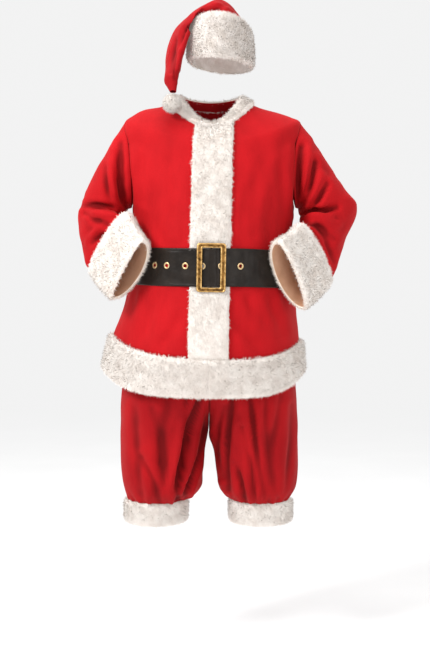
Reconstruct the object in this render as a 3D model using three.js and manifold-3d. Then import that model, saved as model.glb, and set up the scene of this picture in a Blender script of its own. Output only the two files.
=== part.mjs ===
// Santa suit as worn: jacket, belt, trousers and hat, every piece of cloth a thin closed shell.
// Millimetres. The origin is the centre of the jacket's neck opening, +Z is up, the front faces -Y
// and +X is the wearer's left. "right" and "left" in names are the wearer's.
import * as THREE from 'three';
import { mergeVertices } from 'three/addons/utils/BufferGeometryUtils.js';
import Module from 'manifold-3d';

const wasm = await Module();
wasm.setup();

// ---------- driving sizes ----------
const CLOTH = 2; // velour wall
const SEAM_GAP = 0.3; // between neighbouring pieces
const FUR_BACKING = 2; // knitted base under the pile
const FUR_REACH = 14; // height of the pile above the base
const FUR_EDGE = 5; // height of the pile at a trim's edge
const FRONT_BAND_WIDTH = 105;
const OPENING_TOP_X = 9; // the front opening's x at the neck
const OPENING_DRIFT = 1.15; // and how far it drifts over at each level below
const FLATTENED_FUR = 3.2; // pile pressed down under the belt

const STRAP_THICKNESS = 2;
const STRAP_TIP_ANGLE = 62; // free end, degrees round from the buckle
const EYELET_PLACE = 0.46; // height of the eyelets on the strap, from its top edge (0) to its bottom (1)
const STRAP_SAG = 10; // droop of the strap's left half
const EYELETS = [-161, -121, -67, -22, 24, 72]; // along the strap from the buckle's middle
const EYELET_OUTER_R = 9;
const EYELET_HOLE_R = 4.75;
const EYELET_BARREL_R = 5.4;
const STRAP_HOLE_R = 5.7;

const BUCKLE = { width: 78, height: 130, side: 15, end: 12.5, thickness: 4.8, corner: 8, bevel: 1.2 };
const BUCKLE_ROLL = 1; // degrees
const BAR = 4; // diameter of the buckle's centre bar
const BAR_LENGTH = 116;

const POMPOM = { x: -106, y: -97, z: -24, r: 29 };

const DEG = Math.PI / 180;

// ---------- the shape of the worn suit ----------
// Jacket body: one row for each level, from the neck down. right and left are half widths at the
// sides, front and back are depths, the drops lower the front and back centres below the sides, and
// lean is how far the left side hangs below the middle. hang squares off the drop: 2 is a plain curve.
const TORSO = [
  { z: 0, right: 80, left: 80, front: 72, back: 66, dropFront: 76, dropBack: 10, lean: 0, hang: 2 },
  { z: -25, right: 130, left: 130, front: 102, back: 86, dropFront: 68, dropBack: 14, lean: 2, hang: 2 },
  { z: -38, right: 184, left: 186, front: 126, back: 100, dropFront: 70, dropBack: 27, lean: 5, hang: 2 },
  { z: -53, right: 217, left: 222, front: 141, back: 109, dropFront: 70, dropBack: 33, lean: 3, hang: 2 },
  { z: -71, right: 242, left: 248, front: 149, back: 115, dropFront: 67, dropBack: 33, lean: 0, hang: 2 },
  { z: -120, right: 248, left: 253, front: 160, back: 120, dropFront: 52, dropBack: 24, lean: 0, hang: 2 },
  { z: -180, right: 247, left: 253, front: 174, back: 124, dropFront: 38, dropBack: 16, lean: 0, hang: 2 },
  { z: -240, right: 238, left: 246, front: 186, back: 126, dropFront: 25, dropBack: 9, lean: 0, hang: 2 },
  { z: -305, right: 222, left: 234, front: 198, back: 127, dropFront: 13, dropBack: 4, lean: 0, hang: 2 },
  { z: -365, right: 210, left: 226, front: 210, back: 129, dropFront: 4, dropBack: 1, lean: 0, hang: 2 },
  { z: -413, right: 214, left: 226, front: 213, back: 131, dropFront: 0, dropBack: 0, lean: 0, hang: 2 },
  { z: -464, right: 220, left: 229, front: 214, back: 134, dropFront: 0, dropBack: 0, lean: 0, hang: 2 },
  { z: -515, right: 229, left: 233, front: 215, back: 139, dropFront: 0, dropBack: 0, lean: 0, hang: 2 },
  { z: -560, right: 240, left: 236, front: 221, back: 147, dropFront: 3, dropBack: 2, lean: 1, hang: 2 },
  { z: -616, right: 258, left: 241, front: 230, back: 161, dropFront: 18, dropBack: 9, lean: 4, hang: 2.4 },
  { z: -668, right: 276, left: 247, front: 236, back: 176, dropFront: 40, dropBack: 22, lean: 8, hang: 4 },
  { z: -757, right: 300, left: 254, front: 236, back: 188, dropFront: 51, dropBack: 30, lean: 3, hang: 5 },
];
const ARMHOLE = { middle: 6, reach: 2, spread: 27 }; // levels, and degrees either side of the side line
const BELT_TOP = 10; // level
const BELT_BOTTOM = 12;
const HEM_SEAM = 15;
const HEM_END = 16;
const COLLAR_EDGE = 0.75;

// Sleeves from the shoulder to the cuff's rim: a ring's centre, the vector to its outer point, the
// vector to its front point, and how far the back reaches for each unit of the front.
const SLEEVE_RIGHT = [
  { x: -254, y: 0, z: -211, ox: -16, oy: 0, oz: 96, fx: -5, fy: -80, fz: 2, back: 0.75 },
  { x: -272, y: 0, z: -249, ox: -35, oy: 0, oz: 72, fx: -6, fy: -82, fz: 0, back: 0.85 },
  { x: -294, y: 2, z: -291, ox: -53, oy: 7, oz: 40, fx: -5, fy: -80, fz: 5, back: 0.9 },
  { x: -307, y: 3, z: -338, ox: -64, oy: 27, oz: 0, fx: -18, fy: -64, fz: 32, back: 0.95 },
  { x: -300, y: -35, z: -364, ox: -62, oy: 44, oz: -32, fx: -26, fy: -44, fz: 28, back: 1.2 },
  { x: -291, y: -66, z: -390, ox: -58, oy: 40, oz: -70, fx: -20, fy: -20, fz: 9, back: 1.7 },
  { x: -281, y: -86, z: -402, ox: -50, oy: 38, oz: -80, fx: -18, fy: -12, fz: 4, back: 2.1 },
  { x: -256, y: -136, z: -438, ox: -46, oy: 34, oz: -77, fx: -12, fy: -8, fz: 3, back: 3.0 },
  { x: -225, y: -188, z: -471, ox: -42, oy: 31, oz: -76, fx: -8, fy: -6, fz: 2, back: 4.5 },
];
const SLEEVE_LEFT = [
  { x: 261, y: 0, z: -208, ox: 17, oy: 0, oz: 99, fx: 5, fy: -80, fz: 2, back: 0.75 },
  { x: 284, y: 0, z: -249, ox: 36, oy: 0, oz: 73, fx: 6, fy: -84, fz: 0, back: 0.85 },
  { x: 311, y: 2, z: -289, ox: 60, oy: 7, oz: 39, fx: 5, fy: -82, fz: 5, back: 0.9 },
  { x: 328, y: 2, z: -328, ox: 80, oy: 27, oz: 14, fx: 18, fy: -64, fz: 30, back: 0.95 },
  { x: 312, y: -34, z: -376, ox: 60, oy: 42, oz: -24, fx: 25, fy: -44, fz: 24, back: 1.2 },
  { x: 295, y: -62, z: -414, ox: 48, oy: 42, oz: -68, fx: 18, fy: -20, fz: 9, back: 1.8 },
  { x: 286, y: -80, z: -430, ox: 42, oy: 41, oz: -79, fx: 16, fy: -11, fz: 3, back: 2.6 },
  { x: 252, y: -138, z: -462, ox: 38, oy: 38, oz: -83, fx: 12, fy: -9, fz: 3, back: 2.4 },
  { x: 212, y: -194, z: -486, ox: 37, oy: 36, oz: -88, fx: 14, fy: -10, fz: 2, back: 2.6 },
];
const BACK_CLEARANCE = 1.6; // of the sleeves from the jacket back at the armhole
const CUFF_SEAM = 7; // ring counted from the armhole, which is ring 0
const CUFF_RIM = 9;
const CUFF_REACH = 11; // the cuffs' pile is shorter than the hem's

// Trousers from the waist down. right and left are the side seams' x, rightIn and leftIn the inner
// edges' x. turn is how far each panel wraps past its front or back centre: 0 on the trunk, 90 on a leg.
const TROUSERS = [
  { z: -478, right: -200, rightIn: 0, leftIn: 0, left: 200, front: 184, back: 112, turn: 0 },
  { z: -560, right: -212, rightIn: 0, leftIn: 0, left: 212, front: 190, back: 122, turn: 0 },
  { z: -650, right: -226, rightIn: 0, leftIn: 0, left: 224, front: 194, back: 134, turn: 0 },
  { z: -740, right: -240, rightIn: -1, leftIn: -1, left: 232, front: 192, back: 146, turn: 2 },
  { z: -800, right: -251, rightIn: -3, leftIn: -3, left: 237, front: 184, back: 150, turn: 20 },
  { z: -850, right: -256, rightIn: -5, leftIn: -5, left: 241, front: 174, back: 150, turn: 45 },
  { z: -900, right: -257, rightIn: -7, leftIn: -7, left: 243, front: 161, back: 147, turn: 70 },
  { z: -936, right: -258, rightIn: -9, leftIn: -6, left: 244, front: 149, back: 142, turn: 90 },
  { z: -990, right: -258, rightIn: -19, leftIn: 7, left: 245, front: 138, back: 134, turn: 90 },
  { z: -1048, right: -256, rightIn: -25, leftIn: 14, left: 245, front: 130, back: 128, turn: 90 },
  { z: -1093, right: -247, rightIn: -28, leftIn: 22, left: 239, front: 121, back: 119, turn: 90 },
  { z: -1119, right: -239, rightIn: -57, leftIn: 44, left: 223, front: 98, back: 96, turn: 90 },
  { z: -1130, right: -237, rightIn: -79, leftIn: 61, left: 219, front: 78, back: 76, turn: 90 },
];
const TROUSER_WAIST = { top: -440, bottom: -477.5, halfWidth: 200, front: 184, back: 112, tuck: 5 };
const LEG_CUFF = { rightX: -158, leftX: 140, halfWidth: 79, halfDepth: 77, top: -1130.6, bottom: -1191 };

// Hat: the crown's rings from the band's top edge over the fold to the tail's end.
const CROWN = [
  { x: 26, y: 0, z: 183, ox: 74, oy: 0, oz: -7, fx: 0, fy: -102, fz: 35, back: 1 },
  { x: 5, y: 0, z: 215, ox: 62, oy: 0, oz: 18, fx: 0, fy: -86, fz: 22, back: 1 },
  { x: -22, y: -2, z: 224, ox: 47, oy: 0, oz: 36, fx: 4, fy: -78, fz: 14, back: 1 },
  { x: -52, y: -10, z: 209, ox: 20, oy: 0, oz: 34, fx: 10, fy: -70, fz: 6, back: 1 },
  { x: -82, y: -22, z: 176, ox: -7, oy: -2, oz: 20, fx: 19, fy: -60, fz: 2, back: 1 },
  { x: -94, y: -30, z: 140, ox: -14, oy: -5, oz: 8, fx: 22, fy: -54, fz: 2, back: 1 },
  { x: -100, y: -38, z: 105, ox: -15, oy: -4, oz: 3, fx: 22, fy: -48, fz: 4, back: 1 },
  { x: -106, y: -52, z: 72, ox: -17, oy: -3, oz: 0, fx: 13, fy: -40, fz: 8, back: 1 },
  { x: -110, y: -72, z: 44, ox: -18, oy: -2, oz: 0, fx: 7, fy: -27, fz: 11, back: 1 },
  { x: -107, y: -85, z: 25, ox: -14, oy: 0, oz: 0, fx: 2, fy: -16, fz: 8, back: 1 },
  { x: -104, y: -93, z: 8, ox: -9, oy: 0, oz: 0, fx: 0, fy: -9, fz: 3, back: 1 },
];
// The hat's fur band leans in from its bottom edge to its top, is raised at the front and leans down
// to the wearer's left.
const HAT_BAND = [
  { halfWidth: 80, halfDepth: 112, z: 90, raised: 9, lean: 9 },
  { halfWidth: 81, halfDepth: 112, z: 119, raised: 20, lean: 8 },
  { halfWidth: 79, halfDepth: 108, z: 152, raised: 29, lean: 7 },
  { halfWidth: 74, halfDepth: 102, z: 182.6, raised: 35, lean: 7 },
];
const HAT_BAND_X = 26;

// Distance of the strap's middle from the jacket, round from its inner end at the buckle (0) past the
// back (180) to its front, through the buckle (360) and on to the free end.
const STRAP_PATH = [
  { angle: 3.5, out: 5.6 },
  { angle: 15, out: 5.6 },
  { angle: 22, out: 2.2 },
  { angle: 338, out: 2.2 },
  { angle: 345, out: 5.6 },
  { angle: 350.5, out: 7.2 },
  { angle: 356.4, out: 10.4 },
  { angle: 358.5, out: 14.5 },
  { angle: 362.3, out: 14.5 },
  { angle: 364, out: 10.4 },
  { angle: 369.5, out: 8.2 },
  { angle: 376, out: 8.0 },
  { angle: 382, out: 4.8 },
  { angle: 422, out: 4.8 },
];

// ---------- materials ----------
const velour = (name, color) => new THREE.MeshStandardMaterial({ name, color, roughness: 0.9, metalness: 0 });
const jacketRed = velour('jacket_velour', 0xc3202a);
const trouserRed = velour('trouser_velour', 0xb31d27);
const hatRed = velour('hat_velour', 0xbb1c26);
const fur = velour('fur', 0xf0e8e2);
const leatherette = new THREE.MeshStandardMaterial({
  name: 'leatherette', color: 0x2a2422, roughness: 0.45, metalness: 0,
});
const antiqueGold = new THREE.MeshStandardMaterial({
  name: 'antique_gold', color: 0xb07d28, roughness: 0.35, metalness: 1,
});
const eyeletGold = new THREE.MeshStandardMaterial({
  name: 'eyelet_gold', color: 0xc9a85c, roughness: 0.3, metalness: 1,
});
const elastic = velour('elastic', 0x8e1820);

// ---------- helpers ----------
const suit = new THREE.Group();
suit.name = 'santa_suit';

function add(name, geometry, material) {
  const mesh = new THREE.Mesh(geometry, material);
  mesh.name = name;
  suit.add(mesh);
}

/** Row of a table at a fractional place, smooth through the rows. */
function rowAt(table, place) {
  const last = table.length - 1;
  const i = Math.min(Math.max(Math.floor(place), 0), last - 1);
  const f = place - i;
  const before = table[Math.max(i - 1, 0)];
  const start = table[i];
  const end = table[i + 1];
  const after = table[Math.min(i + 2, last)];
  const row = {};
  for (const key of Object.keys(start)) {
    const leave = (end[key] - before[key]) / 2;
    const arrive = (after[key] - start[key]) / 2;
    const rise = end[key] - start[key];
    const bend = 3 * rise - 2 * leave - arrive;
    const twist = leave + arrive - 2 * rise;
    row[key] = start[key] + f * (leave + f * (bend + f * twist));
  }
  return row;
}

/** Value of a column at an angle, straight between rows. */
function pathAt(table, angle, column) {
  let i = 0;
  while (i < table.length - 2 && table[i + 1].angle < angle) i += 1;
  const start = table[i];
  const end = table[i + 1];
  const f = (angle - start.angle) / (end.angle - start.angle);
  return start[column] + f * (end[column] - start[column]);
}

function steps(from, to, count) {
  return Array.from({ length: count + 1 }, (_, i) => from + ((to - from) * i) / count);
}

/** Unit normal of point(u, v). side is 1 or -1 and picks the outward one. */
function normalOf(point, u, v, side) {
  const step = 0.02;
  const along = point(u + step, v).sub(point(u - step, v));
  const down = point(u, v + step).sub(point(u, v - step));
  return down.cross(along).multiplyScalar(side).normalize();
}

/** Grid of places on a surface: rows at the given levels, columns(level) across each. */
function gridOn(point, levels, columns, side) {
  return levels.map((v) => columns(v).map((u) => ({ at: point(u, v), normal: normalOf(point, u, v, side) })));
}

/** Points of a grid moved out along its normals by a number or by rule(row, column). */
function lift(grid, rule) {
  const distance = typeof rule === 'number' ? () => rule : rule;
  return grid.map((row, i) => row.map((g, j) => g.at.clone().addScaledVector(g.normal, distance(i, j))));
}

/** Closed solid between two point grids; joined round when its last column meets its first. */
function solidBetween(outer, inner, joined) {
  const rows = outer.length;
  const cols = outer[0].length;
  const points = [...outer.flat(), ...inner.flat()];
  const faces = [];
  const quad = (a, b, c, d) => faces.push([a, b, c], [a, c, d]);
  const out = (i, j) => i * cols + (j % cols);
  const inn = (i, j) => rows * cols + out(i, j);
  const spans = joined ? cols : cols - 1;
  const end = rows - 1;
  for (let j = 0; j < spans; j += 1) {
    for (let i = 0; i < end; i += 1) {
      quad(out(i, j), out(i + 1, j), out(i + 1, j + 1), out(i, j + 1));
      quad(inn(i, j), inn(i, j + 1), inn(i + 1, j + 1), inn(i + 1, j));
    }
    quad(out(0, j), out(0, j + 1), inn(0, j + 1), inn(0, j));
    quad(out(end, j), inn(end, j), inn(end, j + 1), out(end, j + 1));
  }
  for (let i = 0; i < end && !joined; i += 1) {
    quad(out(i, 0), inn(i, 0), inn(i + 1, 0), out(i + 1, 0));
    quad(out(i, spans), out(i + 1, spans), inn(i + 1, spans), inn(i, spans));
  }
  let volume = 0;
  for (const [a, b, c] of faces) volume += points[a].dot(points[b].clone().cross(points[c]));
  if (volume < 0) faces.forEach((face) => face.reverse());
  const geometry = new THREE.BufferGeometry().setFromPoints(points);
  geometry.setIndex(faces.flat());
  geometry.computeVertexNormals();
  return geometry;
}

/** Wall of cloth on a grid: its outer face lies on the surface. */
function clothOn(grid, joined) {
  return solidBetween(lift(grid, 0), lift(grid, -CLOTH), joined);
}

/** Fur trim on a grid: a wall whose outer face swells from its edges to the pile's reach. */
function furOn(grid, joined, base = -FUR_BACKING, reach = FUR_REACH) {
  const rows = grid.length - 1;
  const swell = (i) => (i === 0 || i === rows ? FUR_EDGE : reach);
  return solidBetween(lift(grid, swell), lift(grid, base), joined);
}

/** Turns the normals of a grid's row to point straight out from its ring's centre. */
function faceOutInPlane(row, { x, y, z }) {
  const centre = new THREE.Vector3(x, y, z);
  row.forEach((g) => g.normal.copy(g.at).sub(centre).normalize());
}

function toManifold(geometry) {
  const bare = geometry.clone();
  bare.deleteAttribute('normal');
  bare.deleteAttribute('uv');
  const merged = mergeVertices(bare, 1e-4);
  return new wasm.Manifold(new wasm.Mesh({
    numProp: 3,
    vertProperties: new Float32Array(merged.attributes.position.array),
    triVerts: new Uint32Array(merged.index.array),
  }));
}

function fromManifold(solid) {
  const mesh = solid.getMesh();
  const geometry = new THREE.BufferGeometry();
  geometry.setAttribute('position', new THREE.BufferAttribute(new Float32Array(mesh.vertProperties), 3));
  geometry.setIndex(new THREE.BufferAttribute(new Uint32Array(mesh.triVerts), 1));
  geometry.computeVertexNormals();
  return geometry;
}

// ---------- jacket body ----------
// angle is measured in degrees from the front centre, positive towards the wearer's left.
function torso(angle, level) {
  const row = rowAt(TORSO, level);
  const sine = Math.sin(angle * DEG);
  const cosine = Math.cos(angle * DEG);
  const half = sine > 0 ? row.left : row.right;
  const depth = cosine > 0 ? row.front : row.back;
  const drop = cosine > 0 ? row.dropFront : row.dropBack;
  const z = row.z - drop * (1 - Math.abs(sine) ** row.hang) - row.lean * sine;
  return new THREE.Vector3(half * sine, -depth * cosine, z);
}

function armholeSpread(level) {
  const f = (level - ARMHOLE.middle) / ARMHOLE.reach;
  return Math.abs(f) < 1 ? ARMHOLE.spread * Math.sqrt(1 - f * f) : 0;
}

const ARMHOLE_STEPS = steps(0, 180, 8);
const armholeLevels = ARMHOLE_STEPS.map((a) => ARMHOLE.middle - ARMHOLE.reach * Math.cos(a * DEG));
const collarLevels = [0, 0.2, 0.55, COLLAR_EDGE];
const bodyLevels = [
  ...collarLevels, 1.6, 2.8, ...armholeLevels, 8.8, 9.6,
  BELT_TOP, 11, BELT_BOTTOM, 12.4, 13.2, 14.1, HEM_SEAM,
];

/** Angle at which the jacket's front has an x at a level. */
function angleOfX(x, level) {
  const row = rowAt(TORSO, level);
  return Math.asin(x / (x > 0 ? row.left : row.right)) / DEG;
}

/** x of the front opening, which runs down the middle of the fur band and drifts to the right. */
function openingX(level) {
  return OPENING_TOP_X - OPENING_DRIFT * level;
}

function frontColumns(side) {
  return (level) => {
    const gap = SEAM_GAP / 2;
    const row = rowAt(TORSO, level);
    const seam = Math.max(armholeSpread(level), Math.asin(gap / row.front) / DEG);
    const near = [gap, FRONT_BAND_WIDTH / 4, FRONT_BAND_WIDTH / 2]
      .map((x) => angleOfX(openingX(level) + side * x, level));
    return [...near.slice(0, 2), ...steps(near[2], side * (90 - seam), 5)];
  };
}

function backColumns(level) {
  const row = rowAt(TORSO, level);
  const seam = Math.max(armholeSpread(level), Math.asin(SEAM_GAP / 2 / row.back) / DEG);
  return steps(90 + seam, 270 - seam, 12);
}

add('jacket_front_right', clothOn(gridOn(torso, bodyLevels, frontColumns(-1), 1)), jacketRed);
add('jacket_front_left', clothOn(gridOn(torso, bodyLevels, frontColumns(1), 1)), jacketRed);
add('jacket_back', clothOn(gridOn(torso, bodyLevels, backColumns, 1)), jacketRed);

// ---------- fur on the jacket ----------
function addFrontBand() {
  const levels = [COLLAR_EDGE + 0.02, ...bodyLevels.filter((level) => level > COLLAR_EDGE)];
  const columns = (level) => steps(-0.5, 0.5, 4)
    .map((f) => angleOfX(openingX(level) + f * FRONT_BAND_WIDTH, level));
  const grid = gridOn(torso, levels, columns, 1);
  const pressed = levels.map((level) => level > BELT_TOP - 0.5 && level < BELT_BOTTOM + 0.5);
  const swell = (i, j) => {
    if (pressed[i]) return FLATTENED_FUR;
    const edge = i === 0 || i === levels.length - 1 || j === 0 || j === 4;
    return edge ? FUR_EDGE : FUR_REACH;
  };
  add('front_fur_band', solidBetween(lift(grid, swell), lift(grid, SEAM_GAP)), fur);
}
addFrontBand();

/** Angles all round, starting and ending at the front opening, on the body panels' own columns. */
function openRound(level) {
  const left = frontColumns(1)(level);
  const right = frontColumns(-1)(level);
  const turned = right.map((angle) => angle + 360).reverse();
  left[left.length - 1] = 90;
  turned[0] = 270;
  return [...left, ...backColumns(level).slice(1, -1), ...turned];
}

const hemLevels = [HEM_SEAM + 0.005, 15.15, 15.85, HEM_END];
add('hem_fur_band', furOn(gridOn(torso, hemLevels, openRound, 1)), fur);

add('collar_fur', furOn(gridOn(torso, collarLevels, openRound, 1), false, SEAM_GAP, 11), fur);

// ---------- sleeves ----------
function ringPoint(row, angle) {
  const outward = Math.cos(angle * DEG);
  const forward = Math.sin(angle * DEG) * (angle > 180 ? row.back : 1);
  return new THREE.Vector3(
    row.x + row.ox * outward + row.fx * forward,
    row.y + row.oy * outward + row.fy * forward,
    row.z + row.oz * outward + row.fz * forward,
  );
}

const turnOf = (angle) => ((angle % 360) + 360) % 360;

/** Place on the jacket body of a point round the armhole, from the shoulder (0) over the front (90). */
function armholePlace(angle, side) {
  return {
    angle: side * (90 - ARMHOLE.spread * Math.sin(angle * DEG)),
    level: ARMHOLE.middle - ARMHOLE.reach * Math.cos(angle * DEG),
  };
}

/** Sleeve surface: ring 0 is the armhole, and the table's rows follow. */
function sleeve(table, side) {
  return (angle, ring) => {
    if (ring >= 1) return ringPoint(rowAt(table, ring - 1), turnOf(angle));
    const place = armholePlace(angle, side);
    const start = torso(place.angle, place.level);
    const end = ringPoint(table[0], turnOf(angle));
    const over = Math.max(Math.cos(angle * DEG), 0);
    const along = end.clone().sub(start).normalize();
    const out = normalOf(torso, place.angle, place.level, 1);
    const f = Math.max(ring, 0);
    const clear = turnOf(angle) > 180 ? BACK_CLEARANCE : SEAM_GAP * 2;
    start.addScaledVector(along, clear * over * (1 - f));
    start.addScaledVector(out, clear * (1 - over) * (1 - f));
    return start.lerp(end, f);
  };
}

const sleeveAngles = [...ARMHOLE_STEPS.slice(0, -1), ...ARMHOLE_STEPS.slice(0, -1).map((a) => a + 180)];

function addSleeve(name, table, side) {
  const point = sleeve(table, side);
  const rings = [0, 0.5, 1, 1.6, 2.3, 3, 3.6, 4.2, 5, 6, CUFF_SEAM];
  const grid = gridOn(point, rings, () => sleeveAngles, -side);
  grid[0].forEach((g, j) => {
    const place = armholePlace(sleeveAngles[j], side);
    const over = Math.sqrt(Math.max(Math.cos(sleeveAngles[j] * DEG), 0));
    g.normal.lerp(normalOf(torso, place.angle, place.level, 1), over).normalize();
  });
  add(`sleeve_${name}`, clothOn(grid, true), jacketRed);
  const cuffRings = [CUFF_SEAM + 0.01, 7.25, 8, 8.75, CUFF_RIM];
  const cuff = gridOn(point, cuffRings, () => sleeveAngles, -side);
  add(`cuff_fur_${name}`, furOn(cuff, true, -FUR_BACKING, CUFF_REACH), fur);
}
addSleeve('right', SLEEVE_RIGHT, -1);
addSleeve('left', SLEEVE_LEFT, 1);

// ---------- trousers ----------
/** Trouser leg: place runs 0 to 1 over the front from the inner edge to the side seam, 1 to 2 back again. */
function trouserLeg(side) {
  return (place, level) => {
    const row = rowAt(TROUSERS, level);
    const outer = side > 0 ? row.left : row.right;
    const inner = side > 0 ? row.leftIn : row.rightIn;
    const turn = THREE.MathUtils.clamp(row.turn, 0, 90);
    const radius = Math.abs(outer - inner) / (1 + Math.sin(turn * DEG));
    const middle = outer - side * radius;
    const front = place <= 1;
    const f = front ? place : 2 - place;
    const angle = (-turn + f * (90 + turn)) * DEG;
    const depth = front ? -row.front : row.back;
    return new THREE.Vector3(middle + side * radius * Math.sin(angle), depth * Math.cos(angle), row.z);
  };
}

const trouserLevels = [0, 1.2, 2.4, 3.3, 4, 4.7, 5.4, 6.2, 7, 8, 9, 10, 11, 12];

function addTrouserPanels(name, side) {
  const point = trouserLeg(side);
  const trim = 0.0012;
  const front = gridOn(point, trouserLevels, () => steps(trim, 1 - trim, 6), side);
  const back = gridOn(point, trouserLevels, () => steps(1 + trim, 2 - trim, 6), side);
  add(`trousers_front_${name}`, clothOn(front), trouserRed);
  add(`trousers_back_${name}`, clothOn(back), trouserRed);
}
addTrouserPanels('right', -1);
addTrouserPanels('left', 1);

function oval(x, halfWidth, front, back, z, angle) {
  const cosine = Math.cos(angle * DEG);
  const depth = cosine > 0 ? front : back;
  return new THREE.Vector3(x + halfWidth * Math.sin(angle * DEG), -depth * cosine, z);
}

const roundAngles = steps(0, 360, 24).slice(0, -1);

function addWaistband() {
  const { top, bottom, halfWidth, front, back, tuck } = TROUSER_WAIST;
  const point = (angle, f) => {
    const inward = tuck * (1 - f);
    return oval(0, halfWidth - inward, front - inward, back - inward, top + (bottom - top) * f, angle);
  };
  const grid = gridOn(point, [0, 0.5, 1], () => roundAngles, 1);
  add('trousers_waistband', solidBetween(lift(grid, 1), lift(grid, -3), true), elastic);
}
addWaistband();

function addLegCuff(name, x) {
  const { halfWidth, halfDepth, top, bottom } = LEG_CUFF;
  const point = (angle, f) => oval(x, halfWidth, halfDepth, halfDepth, top + (bottom - top) * f, angle);
  const grid = gridOn(point, [0, 0.15, 0.85, 1], () => steps(0, 360, 16).slice(0, -1), 1);
  add(`leg_cuff_fur_${name}`, furOn(grid, true), fur);
}
addLegCuff('right', LEG_CUFF.rightX);
addLegCuff('left', LEG_CUFF.leftX);

// ---------- hat ----------
function addHat() {
  const crown = (angle, ring) => ringPoint(rowAt(CROWN, ring), turnOf(angle));
  const rings = [0, 0.6, 1.2, 1.8, 2.4, 3, 3.5, 4, 5, 6, 7, 8, 9, 10];
  const half = (from) => (ring) => {
    const trim = SEAM_GAP * 0.8 / Math.abs(rowAt(CROWN, ring).fy) / DEG;
    return steps(from + trim, from + 180 - trim, 8);
  };
  for (const [name, from] of [['front', 0], ['back', 180]]) {
    const panel = gridOn(crown, rings, half(from), 1);
    faceOutInPlane(panel[0], CROWN[0]);
    add(`hat_crown_${name}`, clothOn(panel), hatRed);
  }

  const band = (angle, place) => {
    const row = rowAt(HAT_BAND, place);
    const cosine = Math.cos(angle * DEG);
    return new THREE.Vector3(
      HAT_BAND_X + row.halfWidth * Math.sin(angle * DEG),
      -row.halfDepth * cosine,
      row.z + row.raised * cosine - row.lean * Math.sin(angle * DEG),
    );
  };
  const grid = gridOn(band, [0, 0.4, 1.5, 2.6, 3], () => roundAngles, -1);
  faceOutInPlane(grid[4], CROWN[0]);
  add('hat_fur_band', furOn(grid, true), fur);

  const pompom = new THREE.SphereGeometry(POMPOM.r, 18, 12);
  const mesh = new THREE.Mesh(pompom, fur);
  mesh.name = 'hat_pompom';
  mesh.rotation.x = Math.PI / 2;
  mesh.position.set(POMPOM.x, POMPOM.y, POMPOM.z);
  suit.add(mesh);
}
addHat();

// ---------- belt ----------
/** Droop of the strap at an angle round the body: it hangs lower on the wearer's left. */
function strapSag(angle) {
  const a = turnOf(angle);
  return a < 8 || a > 130 ? 0 : STRAP_SAG * Math.sin(((a - 8) / 122) * Math.PI) ** 2;
}

/** Middle of the strap at an angle round its path and a place from its top edge (0) to its bottom (1). */
function strapMiddle(angle, place) {
  const level = BELT_TOP + (BELT_BOTTOM - BELT_TOP) * (place + strapSag(angle) / STRAP_WIDTH);
  const out = normalOf(torso, angle, level, 1).setZ(0).normalize();
  return torso(angle, level).addScaledVector(out, pathAt(STRAP_PATH, angle, 'out'));
}

const bellyFront = TORSO[11].front;
const barOut = STRAP_PATH[0].out + STRAP_THICKNESS / 2 + SEAM_GAP + BAR / 2;
const bar = { x: 0, y: -bellyFront - barOut, z: TORSO[11].z };

/** Points of the strap's middle in plan, from the fold round the bar to the free end. */
function strapColumns() {
  const turn = BAR / 2 + SEAM_GAP + STRAP_THICKNESS / 2;
  const columns = [];
  for (const x of [9, 4.5]) columns.push({ x, y: bar.y - turn });
  for (const a of steps(90, 270, 8)) {
    columns.push({ x: turn * 1.3 * Math.cos(a * DEG), y: bar.y - turn * Math.sin(a * DEG) });
  }
  return columns;
}

const STRAP_WIDTH = TORSO[BELT_TOP].z - TORSO[BELT_BOTTOM].z;
const strapAngles = [
  3.5, 9, 15, ...steps(22, 338, 48), ...STRAP_PATH.slice(4, 13).map(({ angle }) => angle),
  ...steps(382, 360 + STRAP_TIP_ANGLE, 6).slice(1),
];

function strapGrid() {
  const points = [0, 0.5, 1].map((place) => {
    const z = TORSO[BELT_TOP].z - place * STRAP_WIDTH;
    const fold = strapColumns().map(({ x, y }) => new THREE.Vector3(x, y, z));
    return [...fold, ...strapAngles.map((angle) => strapMiddle(angle, place))];
  });
  return points.map((row) => row.map((at, j) => {
    const along = row[Math.min(j + 1, row.length - 1)].clone().sub(row[Math.max(j - 1, 0)]);
    const up = points[0][j].clone().sub(points[2][j]);
    return { at, normal: along.cross(up).normalize() };
  }));
}

/** Turns a piece that faces +Z to face out of the strap at a place on its path. */
function strapFrame(angle) {
  const at = strapMiddle(angle, EYELET_PLACE);
  const along = strapMiddle(angle + 1, 0.5).sub(strapMiddle(angle - 1, 0.5)).normalize();
  const rise = strapMiddle(angle, 0.4).sub(strapMiddle(angle, 0.6));
  const out = along.clone().cross(rise).normalize();
  const up = out.clone().cross(along);
  return new THREE.Matrix4().makeBasis(along, up, out).setPosition(at);
}

const eyeletAngles = EYELETS.map((distance) => 360 + distance / (bellyFront * DEG));

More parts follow.
